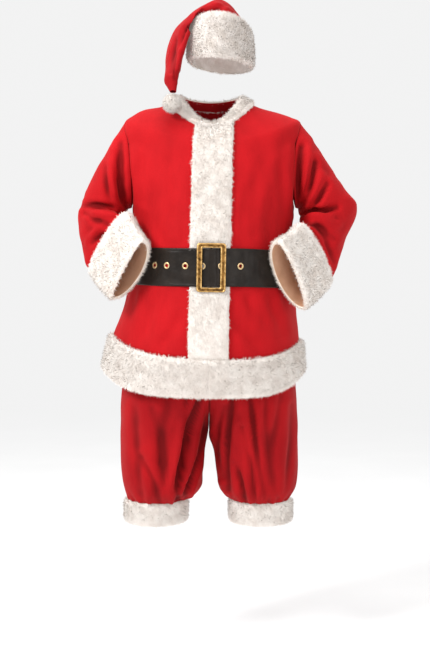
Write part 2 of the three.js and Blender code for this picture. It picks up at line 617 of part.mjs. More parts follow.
function addBelt() {
  const half = STRAP_THICKNESS / 2;
  const grid = strapGrid();
  let strap = toManifold(solidBetween(lift(grid, half), lift(grid, -half)));
  const punch = new THREE.CylinderGeometry(STRAP_HOLE_R, STRAP_HOLE_R, 5, 16).rotateX(Math.PI / 2);
  const ring = [
    [EYELET_HOLE_R, -half], [EYELET_BARREL_R, -half], [EYELET_BARREL_R, half + SEAM_GAP],
    [EYELET_OUTER_R, half + SEAM_GAP], [EYELET_OUTER_R - 0.6, half + 1.1], [EYELET_HOLE_R + 0.5, half + 1.3],
    [EYELET_HOLE_R, half + 0.8], [EYELET_HOLE_R, -half],
  ].map(([r, h]) => new THREE.Vector2(r, h));
  eyeletAngles.forEach((angle, i) => {
    const frame = strapFrame(angle);
    strap = strap.subtract(toManifold(punch.clone().applyMatrix4(frame)));
    const eyelet = new THREE.LatheGeometry(ring, 16).rotateX(Math.PI / 2).applyMatrix4(frame);
    add(`eyelet_${i + 1}`, fromManifold(toManifold(eyelet)), eyeletGold);
  });
  add('belt_strap', fromManifold(strap), leatherette);
}
addBelt();

function roundedRect(width, height, corner, target) {
  const x = width / 2;
  const y = height / 2;
  target.moveTo(-x + corner, -y);
  target.lineTo(x - corner, -y);
  target.absarc(x - corner, -y + corner, corner, -Math.PI / 2, 0);
  target.lineTo(x, y - corner);
  target.absarc(x - corner, y - corner, corner, 0, Math.PI / 2);
  target.lineTo(-x + corner, y);
  target.absarc(-x + corner, y - corner, corner, Math.PI / 2, Math.PI);
  target.lineTo(-x, -y + corner);
  target.absarc(-x + corner, -y + corner, corner, Math.PI, 1.5 * Math.PI);
  return target;
}

function addBuckle() {
  const { width, height, side, end, thickness, corner, bevel } = BUCKLE;
  const outline = roundedRect(width - 2 * bevel, height - 2 * bevel, corner - bevel, new THREE.Shape());
  const window = roundedRect(width - 2 * side + 2 * bevel, height - 2 * end + 2 * bevel, 3, new THREE.Path());
  outline.holes.push(window);
  const frame = new THREE.ExtrudeGeometry(outline, {
    depth: thickness - 2 * bevel, bevelEnabled: true, bevelThickness: bevel, bevelSize: bevel,
    bevelSegments: 1, curveSegments: 4,
  });
  frame.translate(0, 0, bevel);
  const plane = BAR / 2 + 0.2; // the frame's back face stands this far in front of the bar's middle
  frame.translate(0, 0, plane);
  const rod = new THREE.CylinderGeometry(BAR / 2, BAR / 2, BAR_LENGTH, 12);
  const lug = new THREE.BoxGeometry(BAR, 4, BAR).translate(0, BAR_LENGTH / 2 - 2, 1);
  const otherLug = lug.clone().translate(0, 4 - BAR_LENGTH, 0);
  const solid = [rod, lug, otherLug].reduce((sum, piece) => sum.add(toManifold(piece)), toManifold(frame));
  const geometry = fromManifold(solid);
  geometry.rotateZ(-BUCKLE_ROLL * DEG).rotateX(Math.PI / 2);
  const mesh = new THREE.Mesh(geometry, antiqueGold);
  mesh.name = 'buckle_frame';
  mesh.position.set(bar.x, bar.y, bar.z);
  suit.add(mesh);
}
addBuckle();

export default suit;
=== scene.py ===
"""Santa suit as worn: velour jacket, trousers and hat trimmed with fur, and a belt with a buckle.

Shapes are worked out in millimetres in the frame's own axes: +Z up, the front faces -Y and +X is the
wearer's left. The origin is the centre of the jacket's neck opening.
"""
import math

import bmesh
import bpy
import numpy as np
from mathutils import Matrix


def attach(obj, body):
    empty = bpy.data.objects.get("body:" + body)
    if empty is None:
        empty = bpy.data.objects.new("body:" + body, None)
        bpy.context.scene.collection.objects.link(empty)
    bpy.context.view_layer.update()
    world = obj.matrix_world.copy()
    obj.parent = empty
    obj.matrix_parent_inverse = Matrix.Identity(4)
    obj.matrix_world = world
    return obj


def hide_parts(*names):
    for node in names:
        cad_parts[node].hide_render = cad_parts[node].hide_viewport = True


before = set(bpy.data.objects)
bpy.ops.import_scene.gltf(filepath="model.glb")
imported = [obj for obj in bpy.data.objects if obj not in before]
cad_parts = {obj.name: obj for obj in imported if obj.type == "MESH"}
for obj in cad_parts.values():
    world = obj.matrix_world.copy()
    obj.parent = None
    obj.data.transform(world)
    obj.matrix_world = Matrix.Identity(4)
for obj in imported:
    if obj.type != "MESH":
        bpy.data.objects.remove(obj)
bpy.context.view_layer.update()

MM = 0.001

# ---------- driving sizes, in millimetres ----------
CLOTH = 1.6
SEAM_GAP = 0.3
FUR_BACKING = 2
FUR_REACH = 14
CUFF_REACH = 11
COLLAR_REACH = 11
PRESSED_FUR = 3.0
BODY_SHARE = 0.7  # of a fur trim's reach that is its dense body, under the loose tips
BAND_WIDTH = 105
OPENING_TOP_X = 9
OPENING_DRIFT = 1.15

STRAP_THICKNESS = 2
STRAP_TIP_ANGLE = 62
STRAP_SAG = 10
EYELETS = [-161, -121, -67, -22, 24, 72]
EYELET_PLACE = 0.46
EYELET_OUTER_R = 9
EYELET_HOLE_R = 4.75
STRAP_HOLE_R = 5.7
BUCKLE = {"width": 78, "height": 130, "side": 15, "end": 12.5, "thickness": 4.8, "corner": 8}
BUCKLE_ROLL = 1
BAR = 4
BAR_LENGTH = 116
POMPOM = {"x": -106, "y": -97, "z": -24, "r": 29}


def table(columns, rows):
    """Rows as one array for each named column."""
    return dict(zip(columns.split(), np.array(rows, float).T))


# ---------- the shape of the worn suit ----------
# Jacket body: one row for each level from the neck down. right and left are half widths, front and back
# depths, the drops lower the front and back, lean lowers the left side and hang squares off the drop.
TORSO = table("z right left front back drop_front drop_back lean hang", [
    (0, 80, 80, 72, 66, 76, 10, 0, 2),
    (-25, 130, 130, 102, 86, 68, 14, 2, 2),
    (-38, 184, 186, 126, 100, 70, 27, 5, 2),
    (-53, 217, 222, 141, 109, 70, 33, 3, 2),
    (-71, 242, 248, 149, 115, 67, 33, 0, 2),
    (-120, 248, 253, 160, 120, 52, 24, 0, 2),
    (-180, 247, 253, 174, 124, 38, 16, 0, 2),
    (-240, 238, 246, 186, 126, 25, 9, 0, 2),
    (-305, 222, 234, 198, 127, 13, 4, 0, 2),
    (-365, 210, 226, 210, 129, 4, 1, 0, 2),
    (-413, 214, 226, 213, 131, 0, 0, 0, 2),
    (-464, 220, 229, 214, 134, 0, 0, 0, 2),
    (-515, 229, 233, 215, 139, 0, 0, 0, 2),
    (-560, 240, 236, 221, 147, 3, 2, 1, 2),
    (-616, 258, 241, 230, 161, 18, 9, 4, 2.4),
    (-668, 276, 247, 236, 176, 40, 22, 8, 4),
    (-757, 300, 254, 236, 188, 51, 30, 3, 5),
])
# Sleeves from the shoulder to the cuff's rim: each ring's centre, the vectors to its outer and front
# points, and how far the back reaches for each unit of the front.
SLEEVE_RIGHT = table("x y z ox oy oz fx fy fz back", [
    (-254, 0, -211, -16, 0, 96, -5, -80, 2, 0.75),
    (-272, 0, -249, -35, 0, 72, -6, -82, 0, 0.85),
    (-294, 2, -291, -53, 7, 40, -5, -80, 5, 0.9),
    (-307, 3, -338, -64, 27, 0, -18, -64, 32, 0.95),
    (-300, -35, -364, -62, 44, -32, -26, -44, 28, 1.2),
    (-291, -66, -390, -58, 40, -70, -20, -20, 9, 1.7),
    (-281, -86, -402, -50, 38, -80, -18, -12, 4, 2.1),
    (-256, -136, -438, -46, 34, -77, -12, -8, 3, 3.0),
    (-225, -188, -471, -42, 31, -76, -8, -6, 2, 4.5),
])
SLEEVE_LEFT = table("x y z ox oy oz fx fy fz back", [
    (261, 0, -208, 17, 0, 99, 5, -80, 2, 0.75),
    (284, 0, -249, 36, 0, 73, 6, -84, 0, 0.85),
    (311, 2, -289, 60, 7, 39, 5, -82, 5, 0.9),
    (328, 2, -328, 80, 27, 14, 18, -64, 30, 0.95),
    (312, -34, -376, 60, 42, -24, 25, -44, 24, 1.2),
    (295, -62, -414, 48, 42, -68, 18, -20, 9, 1.8),
    (286, -80, -430, 42, 41, -79, 16, -11, 3, 2.6),
    (252, -138, -462, 38, 38, -83, 12, -9, 3, 2.4),
    (212, -194, -486, 37, 36, -88, 14, -10, 2, 2.6),
])
# Trousers from the waist down, as in the sleeves' rows a row for each level.
TROUSERS = table("z right right_in left_in left front back turn", [
    (-478, -200, 0, 0, 200, 184, 112, 0),
    (-560, -212, 0, 0, 212, 190, 122, 0),
    (-650, -226, 0, 0, 224, 194, 134, 0),
    (-740, -240, -1, -1, 232, 192, 146, 2),
    (-800, -251, -3, -3, 237, 184, 150, 20),
    (-850, -256, -5, -5, 241, 174, 150, 45),
    (-900, -257, -7, -7, 243, 161, 147, 70),
    (-936, -258, -9, -6, 244, 149, 142, 90),
    (-990, -258, -19, 7, 245, 138, 134, 90),
    (-1048, -256, -25, 14, 245, 130, 128, 90),
    (-1093, -247, -28, 22, 239, 121, 119, 90),
    (-1119, -239, -57, 44, 223, 98, 96, 90),
    (-1130, -237, -79, 61, 219, 78, 76, 90),
])
# The hat's crown from the band over the fold to the tail's end.
CROWN = table("x y z ox oy oz fx fy fz back", [
    (26, 0, 183, 74, 0, -7, 0, -102, 35, 1),
    (5, 0, 215, 62, 0, 18, 0, -86, 22, 1),
    (-22, -2, 224, 47, 0, 36, 4, -78, 14, 1),
    (-52, -10, 209, 20, 0, 34, 10, -70, 6, 1),
    (-82, -22, 176, -7, -2, 20, 19, -60, 2, 1),
    (-94, -30, 140, -14, -5, 8, 22, -54, 2, 1),
    (-100, -38, 105, -15, -4, 3, 22, -48, 4, 1),
    (-106, -52, 72, -17, -3, 0, 13, -40, 8, 1),
    (-110, -72, 44, -18, -2, 0, 7, -27, 11, 1),
    (-107, -85, 25, -14, 0, 0, 2, -16, 8, 1),
    (-104, -93, 8, -9, 0, 0, 0, -9, 3, 1),
])
HAT_BAND = table("half_width half_depth z raised lean", [
    (80, 112, 90, 9, 9),
    (81, 112, 119, 20, 8),
    (79, 108, 152, 29, 7),
    (74, 102, 182.6, 35, 7),
])
# Distance of the strap's middle from the jacket, round from its inner end at the buckle.
STRAP_PATH = table("angle out", [
    (3.5, 5.6),
    (15, 5.6),
    (22, 2.2),
    (338, 2.2),
    (345, 5.6),
    (350.5, 7.2),
    (356.4, 10.4),
    (358.5, 14.5),
    (362.3, 14.5),
    (364, 10.4),
    (369.5, 8.2),
    (376, 8.0),
    (382, 4.8),
    (422, 4.8),
])

ARMHOLE = {"middle": 6, "reach": 2, "spread": 27}  # levels, and degrees either side of the side line
BELT_TOP, BELT_BOTTOM, HEM_SEAM, HEM_END, COLLAR_EDGE = 10, 12, 15, 16, 0.75
CUFF_SEAM, CUFF_RIM, BACK_CLEARANCE = 7, 9, 1.6
WAIST = {"top": -440, "bottom": -477.5, "half_width": 200, "front": 184, "back": 112, "tuck": 5}
LEG_CUFF = {"right": -158, "left": 140, "half_width": 79, "half_depth": 77, "top": -1130.6, "bottom": -1191}
HAT_BAND_X = 26

# Folds, each a soft trough (depth above 0) or ridge (below 0) along a line seen from the front or, with
# face -1, from the back. Places, widths and depths are in millimetres.
JACKET_FOLDS = table("x0 z0 x1 z1 width depth face", [
    (-246, -118, -226, -300, 13, 5, 1),
    (-214, -150, -206, -292, 12, -3, 1),
    (-190, -176, -196, -286, 11, 2.5, 1),
    (247, -132, 230, -306, 13, 5, 1),
    (212, -150, 214, -296, 12, -3, 1),
    (184, -190, 196, -300, 10, 2.5, 1),
    (-112, -182, -98, -372, 16, 1.6, 1),
    (-160, -250, -132, -402, 15, 1.8, 1),
    (132, -196, 112, -378, 15, 2.4, 1),
    (172, -262, 150, -400, 13, 2, 1),
    (92, -262, 84, -398, 12, 1.8, 1),
    (-180, -330, -168, -408, 10, 2.5, 1),
    (-78, -330, -74, -408, 9, 1.6, 1),
    (-88, -600, -150, -712, 12, 4, 1),
    (-62, -590, -102, -700, 11, -2.2, 1),
    (-150, -535, -196, -690, 15, 3, 1),
    (58, -610, 138, -708, 13, 4.5, 1),
    (76, -560, 176, -672, 13, -2.4, 1),
    (150, -530, 196, -640, 12, 3, 1),
    (-116, -526, -122, -620, 11, 2.2, 1),
    (100, -524, 108, -600, 10, 2, 1),
    (-150, -150, -120, -380, 18, 3.5, -1),
    (-60, -120, -48, -396, 16, 2.4, -1),
    (30, -160, 24, -400, 14, 2.2, -1),
    (120, -140, 104, -398, 17, 3.6, -1),
    (190, -210, 158, -392, 13, 3, -1),
    (-196, -240, -170, -400, 13, 2.6, -1),
    (-170, -530, -206, -690, 15, 4, -1),
    (-84, -526, -98, -700, 13, 3.4, -1),
    (0, -528, 8, -690, 15, 3.8, -1),
    (84, -526, 104, -700, 12, 3.2, -1),
    (166, -530, 200, -680, 14, 4, -1),
])
SLEEVE_FOLDS = table("x0 z0 x1 z1 width depth face", [
    (-268, -306, -362, -300, 8, 5, 1),
    (-270, -322, -340, -330, 8, -3, 1),
    (-282, -352, -352, -318, 8, 4.5, 1),
    (-276, -372, -330, -398, 8, 5, 1),
    (-300, -350, -344, -402, 8, -3, 1),
    (-250, -130, -246, -290, 11, 6, 1),
    (-272, -150, -262, -290, 12, -3, 1),
    (-290, -196, -270, -296, 9, 4, 1),
    (246, -140, 244, -300, 11, 7, 1),
    (266, -150, 254, -300, 11, -4, 1),
    (284, -180, 258, -306, 9, 6, 1),
    (306, -214, 266, -312, 9, -3.5, 1),
    (318, -240, 268, -316, 8, 5, 1),
    (250, -322, 346, -304, 8, 6, 1),
    (256, -336, 330, -326, 8, -4, 1),
    (262, -342, 336, -392, 10, 6, 1),
    (270, -330, 352, -350, 9, -3, 1),
    (290, -350, 340, -452, 9, 4.5, 1),
    (-262, -300, -356, -280, 9, 5, -1),
    (-268, -330, -350, -350, 9, 5, -1),
    (-270, -150, -262, -290, 12, 4, -1),
    (256, -310, 352, -286, 9, 5, -1),
    (262, -336, 356, -352, 9, 5, -1),
    (270, -150, 258, -296, 12, 4, -1),
])
TROUSER_FOLDS = table("x0 z0 x1 z1 width depth face", [
    (-26, -806, -98, -1128, 9, 9, 1),
    (-44, -800, -112, -1126, 9, -4, 1),
    (-10, -880, -86, -1124, 9, 7, 1),
    (-66, -806, -122, -1122, 9, 5, 1),
    (-160, -850, -142, -1112, 14, 3.5, 1),
    (-212, -850, -196, -1096, 13, 3, 1),
    (-118, -790, -136, -1000, 16, 2.5, 1),
    (-38, -1000, -72, -1128, 7, 5, 1),
    (-190, -990, -150, -1124, 10, 4, 1),
    (58, -800, 46, -1092, 10, 7, 1),
    (34, -840, 28, -1060, 8, 5, 1),
    (74, -790, 112, -1124, 11, -5, 1),
    (86, -900, 120, -1128, 9, 8, 1),
    (106, -800, 150, -1124, 10, 5, 1),
    (150, -800, 162, -1118, 11, 4, 1),
    (190, -820, 182, -1110, 12, 4, 1),
    (222, -850, 206, -1096, 9, 3, 1),
    (64, -1010, 98, -1128, 8, 5, 1),
    (-190, -800, -172, -1120, 14, 5, -1),
    (-140, -770, -150, -1124, 12, 4, -1),
    (-90, -800, -124, -1126, 11, 6, -1),
    (-40, -860, -92, -1120, 10, 5, -1),
    (52, -830, 92, -1122, 11, 6, -1),
    (104, -790, 122, -1126, 12, 4.5, -1),
    (160, -800, 156, -1122, 13, 5, -1),
    (206, -840, 190, -1110, 11, 4, -1),
])
HAT_FOLDS = table("x0 z0 x1 z1 width depth face", [
    (34, 236, -40, 214, 6, 4, 1),
    (58, 222, 6, 246, 6, -3, 1),
    (-6, 214, -70, 176, 6, 4, 1),
    (-50, 205, -84, 130, 6, 4, 1),
    (-64, 170, -92, 70, 6, -3, 1),
    (-96, 150, -110, 60, 6, 4, 1),
    (-90, 120, -98, 40, 5, 3, 1),
    (60, 190, 20, 236, 7, 4, -1),
    (10, 200, -60, 210, 7, 4, -1),
    (-40, 190, -92, 110, 7, 4, -1),
    (-84, 140, -104, 50, 6, 3, -1),
])


# ---------- surfaces ----------
def row_at(rows, place):
    """Each column at fractional places, smooth through the rows."""
    columns = list(rows.values())
    last = len(columns[0]) - 1
    i = np.clip(np.floor(place).astype(int), 0, last - 1)
    f = place - i
    out = {}
    for key, column in rows.items():
        before, start = column[np.maximum(i - 1, 0)], column[i]
        end, after = column[i + 1], column[np.minimum(i + 2, last)]
        leave, arrive, rise = (end - before) / 2, (after - start) / 2, end - start
        out[key] = start + f * (leave + f * (3 * rise - 2 * leave - arrive + f * (leave + arrive - 2 * rise)))
    return out


def unit(vectors):
    return vectors / np.maximum(np.linalg.norm(vectors, axis=-1, keepdims=True), 1e-9)


def normal_of(point, u, v, side):
    step = 0.02
    along = point(u + step, v) - point(u - step, v)
    down = point(u, v + step) - point(u, v - step)
    return unit(np.cross(down, along)) * side


def grid_on(point, u, v, side):
    """Points and outward normals of a surface at arrays of places."""
    u, v = np.broadcast_arrays(np.asarray(u, float), np.asarray(v, float))
    return point(u, v), normal_of(point, u, v, side)


def spread(starts, ends, count):
    """Columns from starts to ends, a row for each start."""
    f = np.linspace(0, 1, count)
    return starts[:, None] * (1 - f) + ends[:, None] * f


def torso(angle, level):
    row = row_at(TORSO, level)
    sine, cosine = np.sin(np.radians(angle)), np.cos(np.radians(angle))
    half = np.where(sine > 0, row["left"], row["right"])
    depth = np.where(cosine > 0, row["front"], row["back"])
    drop = np.where(cosine > 0, row["drop_front"], row["drop_back"])
    z = row["z"] - drop * (1 - np.abs(sine) ** row["hang"]) - row["lean"] * sine
    return np.stack([half * sine, -depth * cosine, z], -1)


def armhole_spread(level):
    f = (level - ARMHOLE["middle"]) / ARMHOLE["reach"]
    return ARMHOLE["spread"] * np.sqrt(np.clip(1 - f * f, 0, None))


def angle_of_x(x, level):
    row = row_at(TORSO, level)
    return np.degrees(np.arcsin(x / np.where(x > 0, row["left"], row["right"])))


def opening_x(level):
    return OPENING_TOP_X - OPENING_DRIFT * level


def ring_point(row, angle):
    turn = np.radians(angle)
    outward = np.cos(turn)[..., None]
    forward = (np.sin(turn) * np.where(np.sin(turn) < 0, row["back"], 1))[..., None]
    centre, out, front = (np.stack([row[k] for k in keys], -1)
                          for keys in (("x", "y", "z"), ("ox", "oy", "oz"), ("fx", "fy", "fz")))
    return centre + out * outward + front * forward


def sleeve(rows, side):
    """Sleeve surface: ring 0 is the armhole, and the table's rows follow."""
    def point(angle, ring):
        turn = np.radians(angle)
        body_angle = side * (90 - ARMHOLE["spread"] * np.sin(turn))
        level = ARMHOLE["middle"] - ARMHOLE["reach"] * np.cos(turn)
        start = torso(body_angle, level)
        end = ring_point(row_at(rows, np.zeros_like(turn)), angle)
        over = np.clip(np.cos(turn), 0, None)[..., None]
        f = np.clip(ring, 0, 1)[..., None]
        clear = np.where(np.sin(turn) < 0, BACK_CLEARANCE, SEAM_GAP * 2)[..., None]
        out = normal_of(torso, body_angle, level, 1)
        start = start + clear * (1 - f) * (unit(end - start) * over + out * (1 - over))
        tube = ring_point(row_at(rows, ring - 1), angle)
        return np.where(ring[..., None] >= 1, tube, start + (end - start) * f)
    return point


def trouser_leg(side):
    """Trouser leg: place runs 0 to 1 over the front from the inner edge to the side seam, 1 to 2 back."""
    def point(place, level):
        row = row_at(TROUSERS, level)
        outer, inner = (row["left"], row["left_in"]) if side > 0 else (row["right"], row["right_in"])
        turn = np.clip(row["turn"], 0, 90)
        radius = np.abs(outer - inner) / (1 + np.sin(np.radians(turn)))
        front = place <= 1
        angle = np.radians(-turn + np.where(front, place, 2 - place) * (90 + turn))
        depth = np.where(front, -row["front"], row["back"])
        x = outer - side * radius * (1 - np.sin(angle))
        return np.stack([x, depth * np.cos(angle), row["z"] + 0 * x], -1)
    return point


def crown(angle, ring):
    return ring_point(row_at(CROWN, ring), angle)


def hat_band(angle, place):
    row = row_at(HAT_BAND, place)
    sine, cosine = np.sin(np.radians(angle)), np.cos(np.radians(angle))
    z = row["z"] + row["raised"] * cosine - row["lean"] * sine
    return np.stack([HAT_BAND_X + row["half_width"] * sine, -row["half_depth"] * cosine, z], -1)


def leg_cuff(x):
    def point(angle, f):
        sine, cosine = np.sin(np.radians(angle)), np.cos(np.radians(angle))
        z = LEG_CUFF["top"] + (LEG_CUFF["bottom"] - LEG_CUFF["top"]) * f
        wide, deep = LEG_CUFF["half_width"], LEG_CUFF["half_depth"]
        return np.stack([x + wide * sine, -deep * cosine, z + 0 * sine], -1)
    return point


def waistband(angle, f):
    sine, cosine = np.sin(np.radians(angle)), np.cos(np.radians(angle))
    tuck = WAIST["tuck"] * (1 - f)
    depth = np.where(cosine > 0, WAIST["front"], WAIST["back"]) - tuck
    z = WAIST["top"] + (WAIST["bottom"] - WAIST["top"]) * f
    return np.stack([(WAIST["half_width"] - tuck) * sine, -depth * cosine, z], -1)


# ---------- folds ----------
FOLD_STRENGTH = 1.8


def fold_offset(points, folds):
    """How far the folds move points out along their normals."""
    flat = points[..., [0, 2]]
    total = np.zeros(points.shape[:-1])
    for x0, z0, x1, z1, width, depth, face in zip(*folds.values()):
        start, run = np.array([x0, z0]), np.array([x1 - x0, z1 - z0])
        t = np.clip((flat - start) @ run / (run @ run), 0, 1)
        bow = 0.06 * np.linalg.norm(run) * np.sin(np.pi * t) * np.sin(x0 + z0)
        across = (flat - start) @ np.array([-run[1], run[0]]) / np.linalg.norm(run) - bow
        beyond = np.linalg.norm(flat - start - t[..., None] * run, axis=-1)
        away = np.where((t > 0) & (t < 1), np.abs(across), beyond)
        taper = 0.25 + 0.75 * np.sin(np.pi * np.clip(t, 0.08, 0.92)) ** 0.7
        side = 1 / (1 + np.exp(np.clip(face * points[..., 1] / 12, -40, 40)))
        trough = np.exp(-(away / width) ** 2) - 0.4 * np.exp(-((away - 1.9 * width) / width) ** 2)
        total -= FOLD_STRENGTH * depth * taper * side * trough
    return total


def ripple(points, size, seed):
    """Slow uneven swell of about -1 to 1 over a cloth."""
    draw = np.random.default_rng(seed)
    total = np.zeros(points.shape[:-1])
    waves = 7
    for _ in range(waves):
        way = unit(draw.normal(size=3)) * 2 * np.pi / (size * draw.uniform(0.6, 1.7))
        total += np.sin(points @ way + draw.uniform(0, 6.28))
    return total / np.sqrt(waves * 2)


def fade(value, low, high):
    """0 below low, 1 above high, smooth between."""
    t = np.clip((value - low) / (high - low), 0, 1)
    return t * t * (3 - 2 * t)


def jacket_swell(points, level):
    """Folds of the jacket's body, none under the belt or front band, and a gather each side of the belt."""
    x = points[..., 0]
    clear = 1 - fade(level, 9.3, 9.9) * (1 - fade(level, 12.1, 12.7))
    off_band = fade(np.abs(x - opening_x(level)), BAND_WIDTH * 0.5, BAND_WIDTH * 0.72)
    plain_front = np.where(points[..., 1] < 0, off_band, 1)
    top = fade(level, COLLAR_EDGE, 2)
    end = 1 - fade(level, 14.3, 14.95)
    gather = np.exp(-(np.minimum(np.abs(level - 9.4), np.abs(level - 12.6)) / 0.6) ** 2)
    pleats = 1.6 * gather * np.sin(np.arctan2(x, -points[..., 1]) * 23 + 2 * np.sin(x / 31))
    folds = fold_offset(points, JACKET_FOLDS) + 1.1 * ripple(points, 95, 4) + pleats
    return folds * clear * plain_front * top * end


def worn_torso(angle, level):
    points = torso(angle, level)
    return points + normal_of(torso, angle, level, 1) * jacket_swell(points, level)[..., None]


# ---------- materials ----------
def new_material(name, roughness, constants=()):
    """Material with a principled shader and constants on its sockets."""
    material = bpy.data.materials.new(name)
    material.use_nodes = True
    shader = material.node_tree.nodes["Principled BSDF"]
    shader.inputs["Roughness"].default_value = roughness
    for key, value in dict(constants).items():
        shader.inputs[key].default_value = value
    return material, material.node_tree, shader


def noise(tree, scale, detail=2.0, stretch=(1, 1, 1)):
    place = tree.nodes.new("ShaderNodeTexCoord")
    mapping = tree.nodes.new("ShaderNodeMapping")
    mapping.inputs["Scale"].default_value = stretch
    texture = tree.nodes.new("ShaderNodeTexNoise")
    texture.inputs["Scale"].default_value = scale
    texture.inputs["Detail"].default_value = detail
    tree.links.new(place.outputs["Object"], mapping.inputs["Vector"])
    tree.links.new(mapping.outputs["Vector"], texture.inputs["Vector"])
    return texture.outputs["Fac"]


def ramp(tree, value, stops):
    node = tree.nodes.new("ShaderNodeValToRGB")
    elements = node.color_ramp.elements
    while len(elements) < len(stops):
        elements.new(0.5)
    for element, (position, colour) in zip(elements, stops):
        element.position = position
        element.color = (*colour, 1)
    tree.links.new(value, node.inputs["Fac"])
    return node.outputs["Color"]


def mixed(tree, factor, first, second, kind="MIX"):
    node = tree.nodes.new("ShaderNodeMix")
    node.data_type = "RGBA"
    node.blend_type = kind
    for key, value in (("Factor", factor), ("A", first), ("B", second)):
        kind = "VALUE" if key == "Factor" else "RGBA"
        target = [s for s in node.inputs if s.name == key and s.type == kind][0]
        if isinstance(value, (int, float)):
            target.default_value = value
        elif isinstance(value, tuple):
            target.default_value = (*value, 1)
        else:
            tree.links.new(value, target)
    return [s for s in node.outputs if s.type == "RGBA"][0]


def bump(tree, shader, height, strength, distance):
    node = tree.nodes.new("ShaderNodeBump")
    node.inputs["Strength"].default_value = strength
    node.inputs["Distance"].default_value = distance
    tree.links.new(height, node.inputs["Height"])
    tree.links.new(node.outputs["Normal"], shader.inputs["Normal"])


def velour(name, light, dark):
    """Brushed knit: a short nap that shades in patches and catches light at its edges; painted shade darkens
    the colour in fold hollows.
    """
    material, tree, shader = new_material(name, 0.8, {
        "Specular IOR Level": 0.12, "Sheen Weight": 0.16, "Sheen Roughness": 0.4,
        "Sheen Tint": (1, 0.16, 0.14, 1)})
    nap = ramp(tree, noise(tree, 14, 4, (1, 1, 0.45)), [(0.3, dark), (0.68, light)])
    speck = ramp(tree, noise(tree, 620, 2), [(0.3, (0.86, 0.86, 0.86)), (0.7, (1, 1, 1))])
    # Painted shade: a per-point attribute that cloth() sets from fold depth darkens the colour in the hollows
    # of folds, where real shade would fall.
    painted_shade = tree.nodes.new("ShaderNodeAttribute")
    painted_shade.attribute_name = "painted_crease_shade"
    depth = ramp(tree, painted_shade.outputs["Fac"], [(0.05, (1, 1, 1)), (0.95, (0.42, 0.34, 0.36))])
    brushed = mixed(tree, 1.0, nap, speck, "MULTIPLY")
    tree.links.new(mixed(tree, 1.0, brushed, depth, "MULTIPLY"), shader.inputs["Base Color"])
    bump(tree, shader, noise(tree, 900, 3), 0.25, 0.0006)
    return material


def fur_material(name, light, dark, stretch=(1, 1, 1)):
    # The fur glows faintly in its own tone (emission 0.1): painted light that lifts the shade between the
    # locks.
    material, tree, shader = new_material(name, 0.85, {
        "Specular IOR Level": 0.2, "Sheen Weight": 0.2, "Sheen Roughness": 0.5, "Emission Strength": 0.1})
    patches = ramp(tree, noise(tree, 34, 3, stretch), [(0.36, dark), (0.6, light)])
    hair = ramp(tree, noise(tree, 480, 3), [(0.3, (0.8, 0.775, 0.755)), (0.62, (1, 1, 1))])
    tree.links.new(mixed(tree, 1.0, patches, hair, "MULTIPLY"), shader.inputs["Base Color"])
    # Painted glow: the emission takes the same tone patches as the base colour.
    tree.links.new(patches, shader.inputs["Emission Color"])
    bump(tree, shader, noise(tree, 420, 4), 0.5, 0.0012)
    return material


def knit_material(name, light, dark):
    """Plain knitted ground of the fur, seen inside the cuffs and along cut edges."""
    material, tree, shader = new_material(name, 0.9, {"Specular IOR Level": 0.15})
    weave = tree.nodes.new("ShaderNodeTexWave")
    weave.inputs["Scale"].default_value = 260
    weave.inputs["Distortion"].default_value = 2
    place = tree.nodes.new("ShaderNodeTexCoord")
    tree.links.new(place.outputs["Object"], weave.inputs["Vector"])
    tone = ramp(tree, noise(tree, 30, 3), [(0.3, dark), (0.7, light)])
    tree.links.new(tone, shader.inputs["Base Color"])
    bump(tree, shader, weave.outputs["Fac"], 0.3, 0.0004)
    return material


def leatherette_material():
    material, tree, shader = new_material("leatherette", 0.4, {"Specular IOR Level": 0.22})
    tone = ramp(tree, noise(tree, 22, 5), [(0.3, (0.007, 0.0045, 0.003)), (0.75, (0.020, 0.0135, 0.0095))])
    tree.links.new(tone, shader.inputs["Base Color"])
    worn = ramp(tree, noise(tree, 60, 4), [(0.3, (0.28,) * 3), (0.7, (0.5,) * 3)])
    tree.links.new(worn, shader.inputs["Roughness"])
    bump(tree, shader, noise(tree, 520, 5), 0.35, 0.0007)
    return material


def metal_material(name, light, dark, roughness):
    material, tree, shader = new_material(name, roughness, {"Metallic": 1.0})
    tone = ramp(tree, noise(tree, 130, 6), [(0.36, dark), (0.62, light)])
    tree.links.new(tone, shader.inputs["Base Color"])
    worn = ramp(tree, noise(tree, 260, 4), [(0.3, (roughness * 0.8,) * 3), (0.7, (roughness * 1.5,) * 3)])
    tree.links.new(worn, shader.inputs["Roughness"])
    bump(tree, shader, noise(tree, 300, 5), 0.3, 0.0004)
    return material


JACKET_RED = velour("jacket_velour", (0.50, 0.006, 0.010), (0.39, 0.004, 0.007))
TROUSER_RED = velour("trouser_velour", (0.40, 0.005, 0.008), (0.30, 0.003, 0.006))
HAT_RED = velour("hat_velour", (0.43, 0.006, 0.010), (0.30, 0.004, 0.007))
ELASTIC = velour("elastic", (0.30, 0.005, 0.008), (0.22, 0.004, 0.006))
FUR = fur_material("fur", (0.87, 0.825, 0.78), (0.76, 0.70, 0.65))
HAT_FUR = fur_material("hat_fur", (0.80, 0.75, 0.71), (0.67, 0.61, 0.56))
CUFF_FUR = fur_material("cuff_fur", (0.90, 0.855, 0.81), (0.80, 0.735, 0.68))
CREAM = knit_material("cream_binding", (0.90, 0.82, 0.72), (0.82, 0.72, 0.60))
PEACH = knit_material("knitted_backing", (0.66, 0.40, 0.26), (0.55, 0.31, 0.19))
LEATHERETTE = leatherette_material()
ANTIQUE = metal_material("antique_gold", (0.34, 0.17, 0.045), (0.08, 0.04, 0.014), 0.42)
BRIGHT_GOLD = metal_material("bright_gold", (0.80, 0.51, 0.20), (0.42, 0.23, 0.07), 0.3)
EYELET_GOLD = metal_material("eyelet_gold", (0.82, 0.62, 0.35), (0.50, 0.34, 0.17), 0.3)


